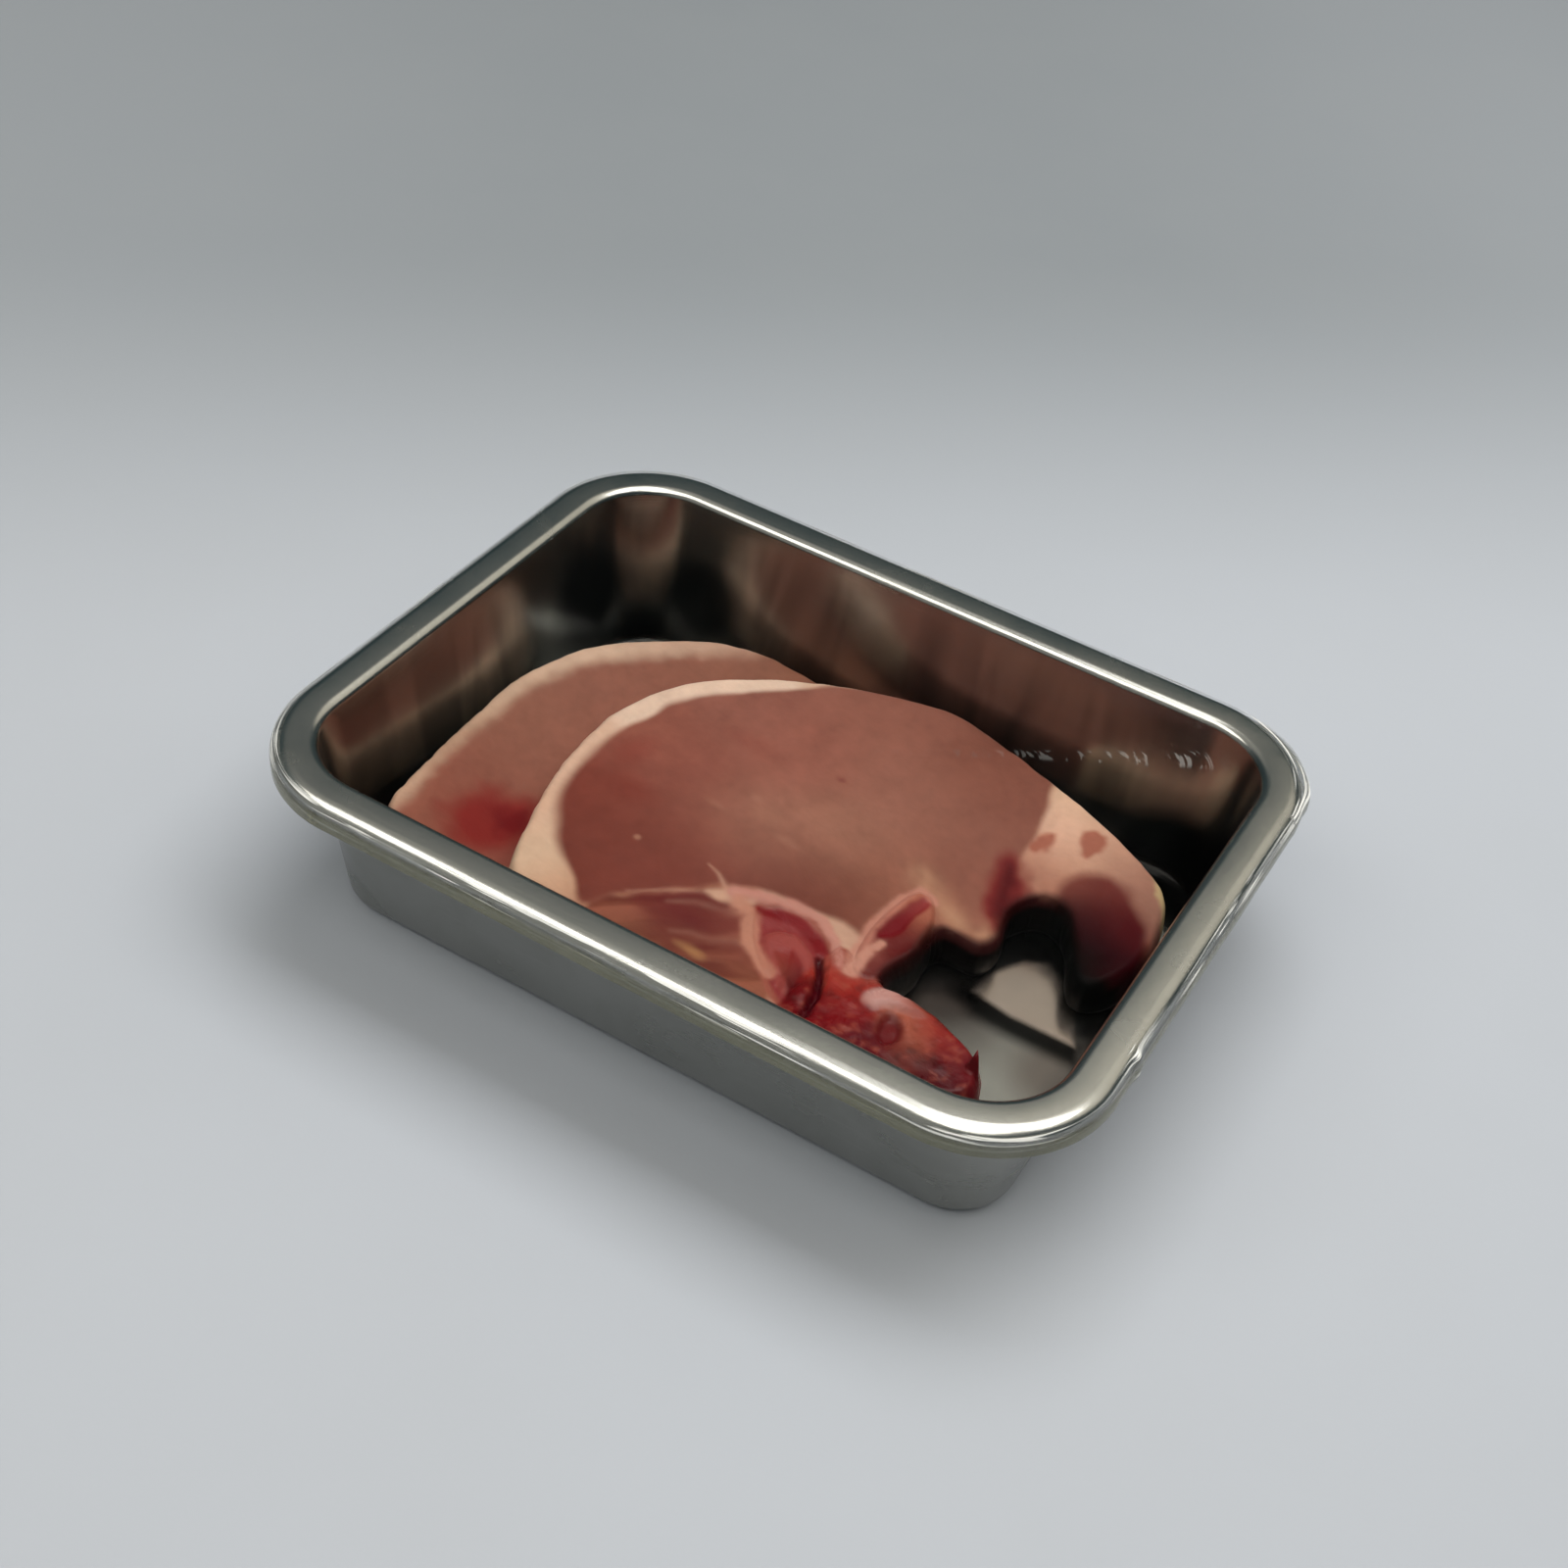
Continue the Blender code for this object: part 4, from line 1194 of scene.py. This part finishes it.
# Bright patches of the room: direction, end of reach, full reach, colour.
ROOM_PATCHES = (
    ((0.375, 0.447, 0.812), 0.80, 0.86, (0.95, 0.88, 0.74)),
    ((-0.45, -0.89, 0.0), 0.45, 0.95, (0.40, 0.40, 0.37)),
)
WHITE, WARM = (1.0, 0.985, 0.95), (1.0, 0.955, 0.87)
# Name, place, size, power, colour, and the kind of light that doesn't see it.
SOFT_BOXES = (
    ("key", (0.12, 0.34, 0.95), (1.0, 0.56), 9.0, WHITE, "glossy"),
    ("key_glint", (0.36, 0.15, 0.97), (1.0, 0.60), 8.5, WHITE, "diffuse"),
    ("front_strip", (-0.15, -0.55, 0.90), (1.5, 0.66), 6.0, WARM, None),
    ("rim_glint", (-0.15, -0.56, 0.92), (1.5, 0.68), 7.0, WARM, "diffuse"),
)


def floor():
    """A large plain floor, pale in front, with painted shade that darkens it behind the tray."""
    count = 64
    spokes = [2 * math.pi * i / count for i in range(count)]
    points = [(0.0, 0.0, 0.0)]
    for radius in (0.02 * 1.35**i for i in range(18)):
        points += [(radius * math.cos(a), radius * math.sin(a), 0.0) for a in spokes]
    faces = [(0, 1 + i, 1 + (i + 1) % count) for i in range(count)]
    for a in range(1, len(points) - count, count):
        for i in range(count):
            j = (i + 1) % count
            faces.append((a + i, a + count + i, a + count + j, a + j))
    mesh = bpy.data.meshes.new("floor")
    mesh.from_pydata(points, [], faces)
    m = Surface("pale_floor")
    depth, sideways = m.along((-0.62, 0.78, 0.0)), m.along((0.78, 0.62, 0.0))
    off_middle = m.math("ABSOLUTE", m.math("SUBTRACT", sideways, 0.07))
    # painted shade: darker with depth behind the tray, less so away from its middle
    behind = m.ranged(off_middle, 0.06, 0.30, 1.0, 0.78)
    behind = m.math("MULTIPLY", m.ranged(depth, 0.06, 0.285), behind)
    colour = m.mix(behind, (0.396, 0.424, 0.476), (0.213, 0.234, 0.258))
    colour = m.mix(m.ranged(m.noise(14.0, 3.0), 0.3, 0.7, 0.0, 0.06), colour, (0.30, 0.31, 0.32))
    m.set(Base_Color=colour, Roughness=0.75, Specular_IOR_Level=0.2)
    m.set(Normal=m.bump(m.noise(900.0, 2.0), 0.0001, 0.2))
    mesh.materials.append(m.material)
    linked("floor", mesh)


def studio():
    """A dark teal room, brighter overhead, with a warm patch behind right and a pale front."""
    scene.world = bpy.data.worlds.new("studio")
    scene.world.use_nodes = True
    m = Nodes(scene.world.node_tree, "Generated")
    split = m.add("SeparateXYZ", {0: m.place})
    colour = m.add("ValToRGB", {0: split.node.outputs[2]})
    elements = colour.node.color_ramp.elements
    while len(elements) < len(ROOM_STOPS):
        elements.new(0.5)
    for element, (at, shade) in zip(elements, ROOM_STOPS):
        element.position = at
        element.color = (*shade, 1.0)
    for direction, low, high, shade in ROOM_PATCHES:
        colour = m.mix(m.ranged(m.along(direction), low, high), colour, shade)
    m.put(m.tree.nodes["Background"].inputs["Color"], colour)


def lighting():
    """Soft boxes that face straight down: two over the tray and two for its near side."""
    for name, place, size, power, colour, hidden in SOFT_BOXES:
        data = bpy.data.lights.new(name, "AREA")
        data.shape = "RECTANGLE"
        data.size, data.size_y = size
        data.energy, data.color = power, colour
        made = linked(name, data)
        made.location = place
        made.visible_glossy = hidden != "glossy"
        made.visible_diffuse = hidden != "diffuse"


def camera():
    """The camera stands to the right of the front, high, and looks down at about 41 degrees."""
    azimuth, elevation, roll = (math.radians(d) for d in (25.40, 41.04, 7.91))
    level = math.cos(elevation)
    back = (math.sin(azimuth) * level, -math.cos(azimuth) * level, math.sin(elevation))
    back = Vector(back)
    right = (-back).cross(Vector((0, 0, 1))).normalized()
    up = right.cross(-back)
    across = right * math.cos(roll) + up * math.sin(roll)
    upward = up * math.cos(roll) - right * math.sin(roll)
    data = bpy.data.cameras.new("camera")
    data.lens, data.sensor_width = 51.28, 36.0
    data.shift_x, data.shift_y = -0.0074, 0.0004
    data.clip_start = 0.01
    matrix = Matrix((across, upward, back)).transposed().to_4x4()
    matrix.translation = back * 0.4379 + Vector((0.00448, -0.00968, HEIGHT))
    scene.camera = linked("camera", data)
    scene.camera.matrix_world = matrix


steel_tray()
chops()
wrap_film()
floor()
studio()
lighting()
camera()
scene.view_settings.view_transform = "Standard"
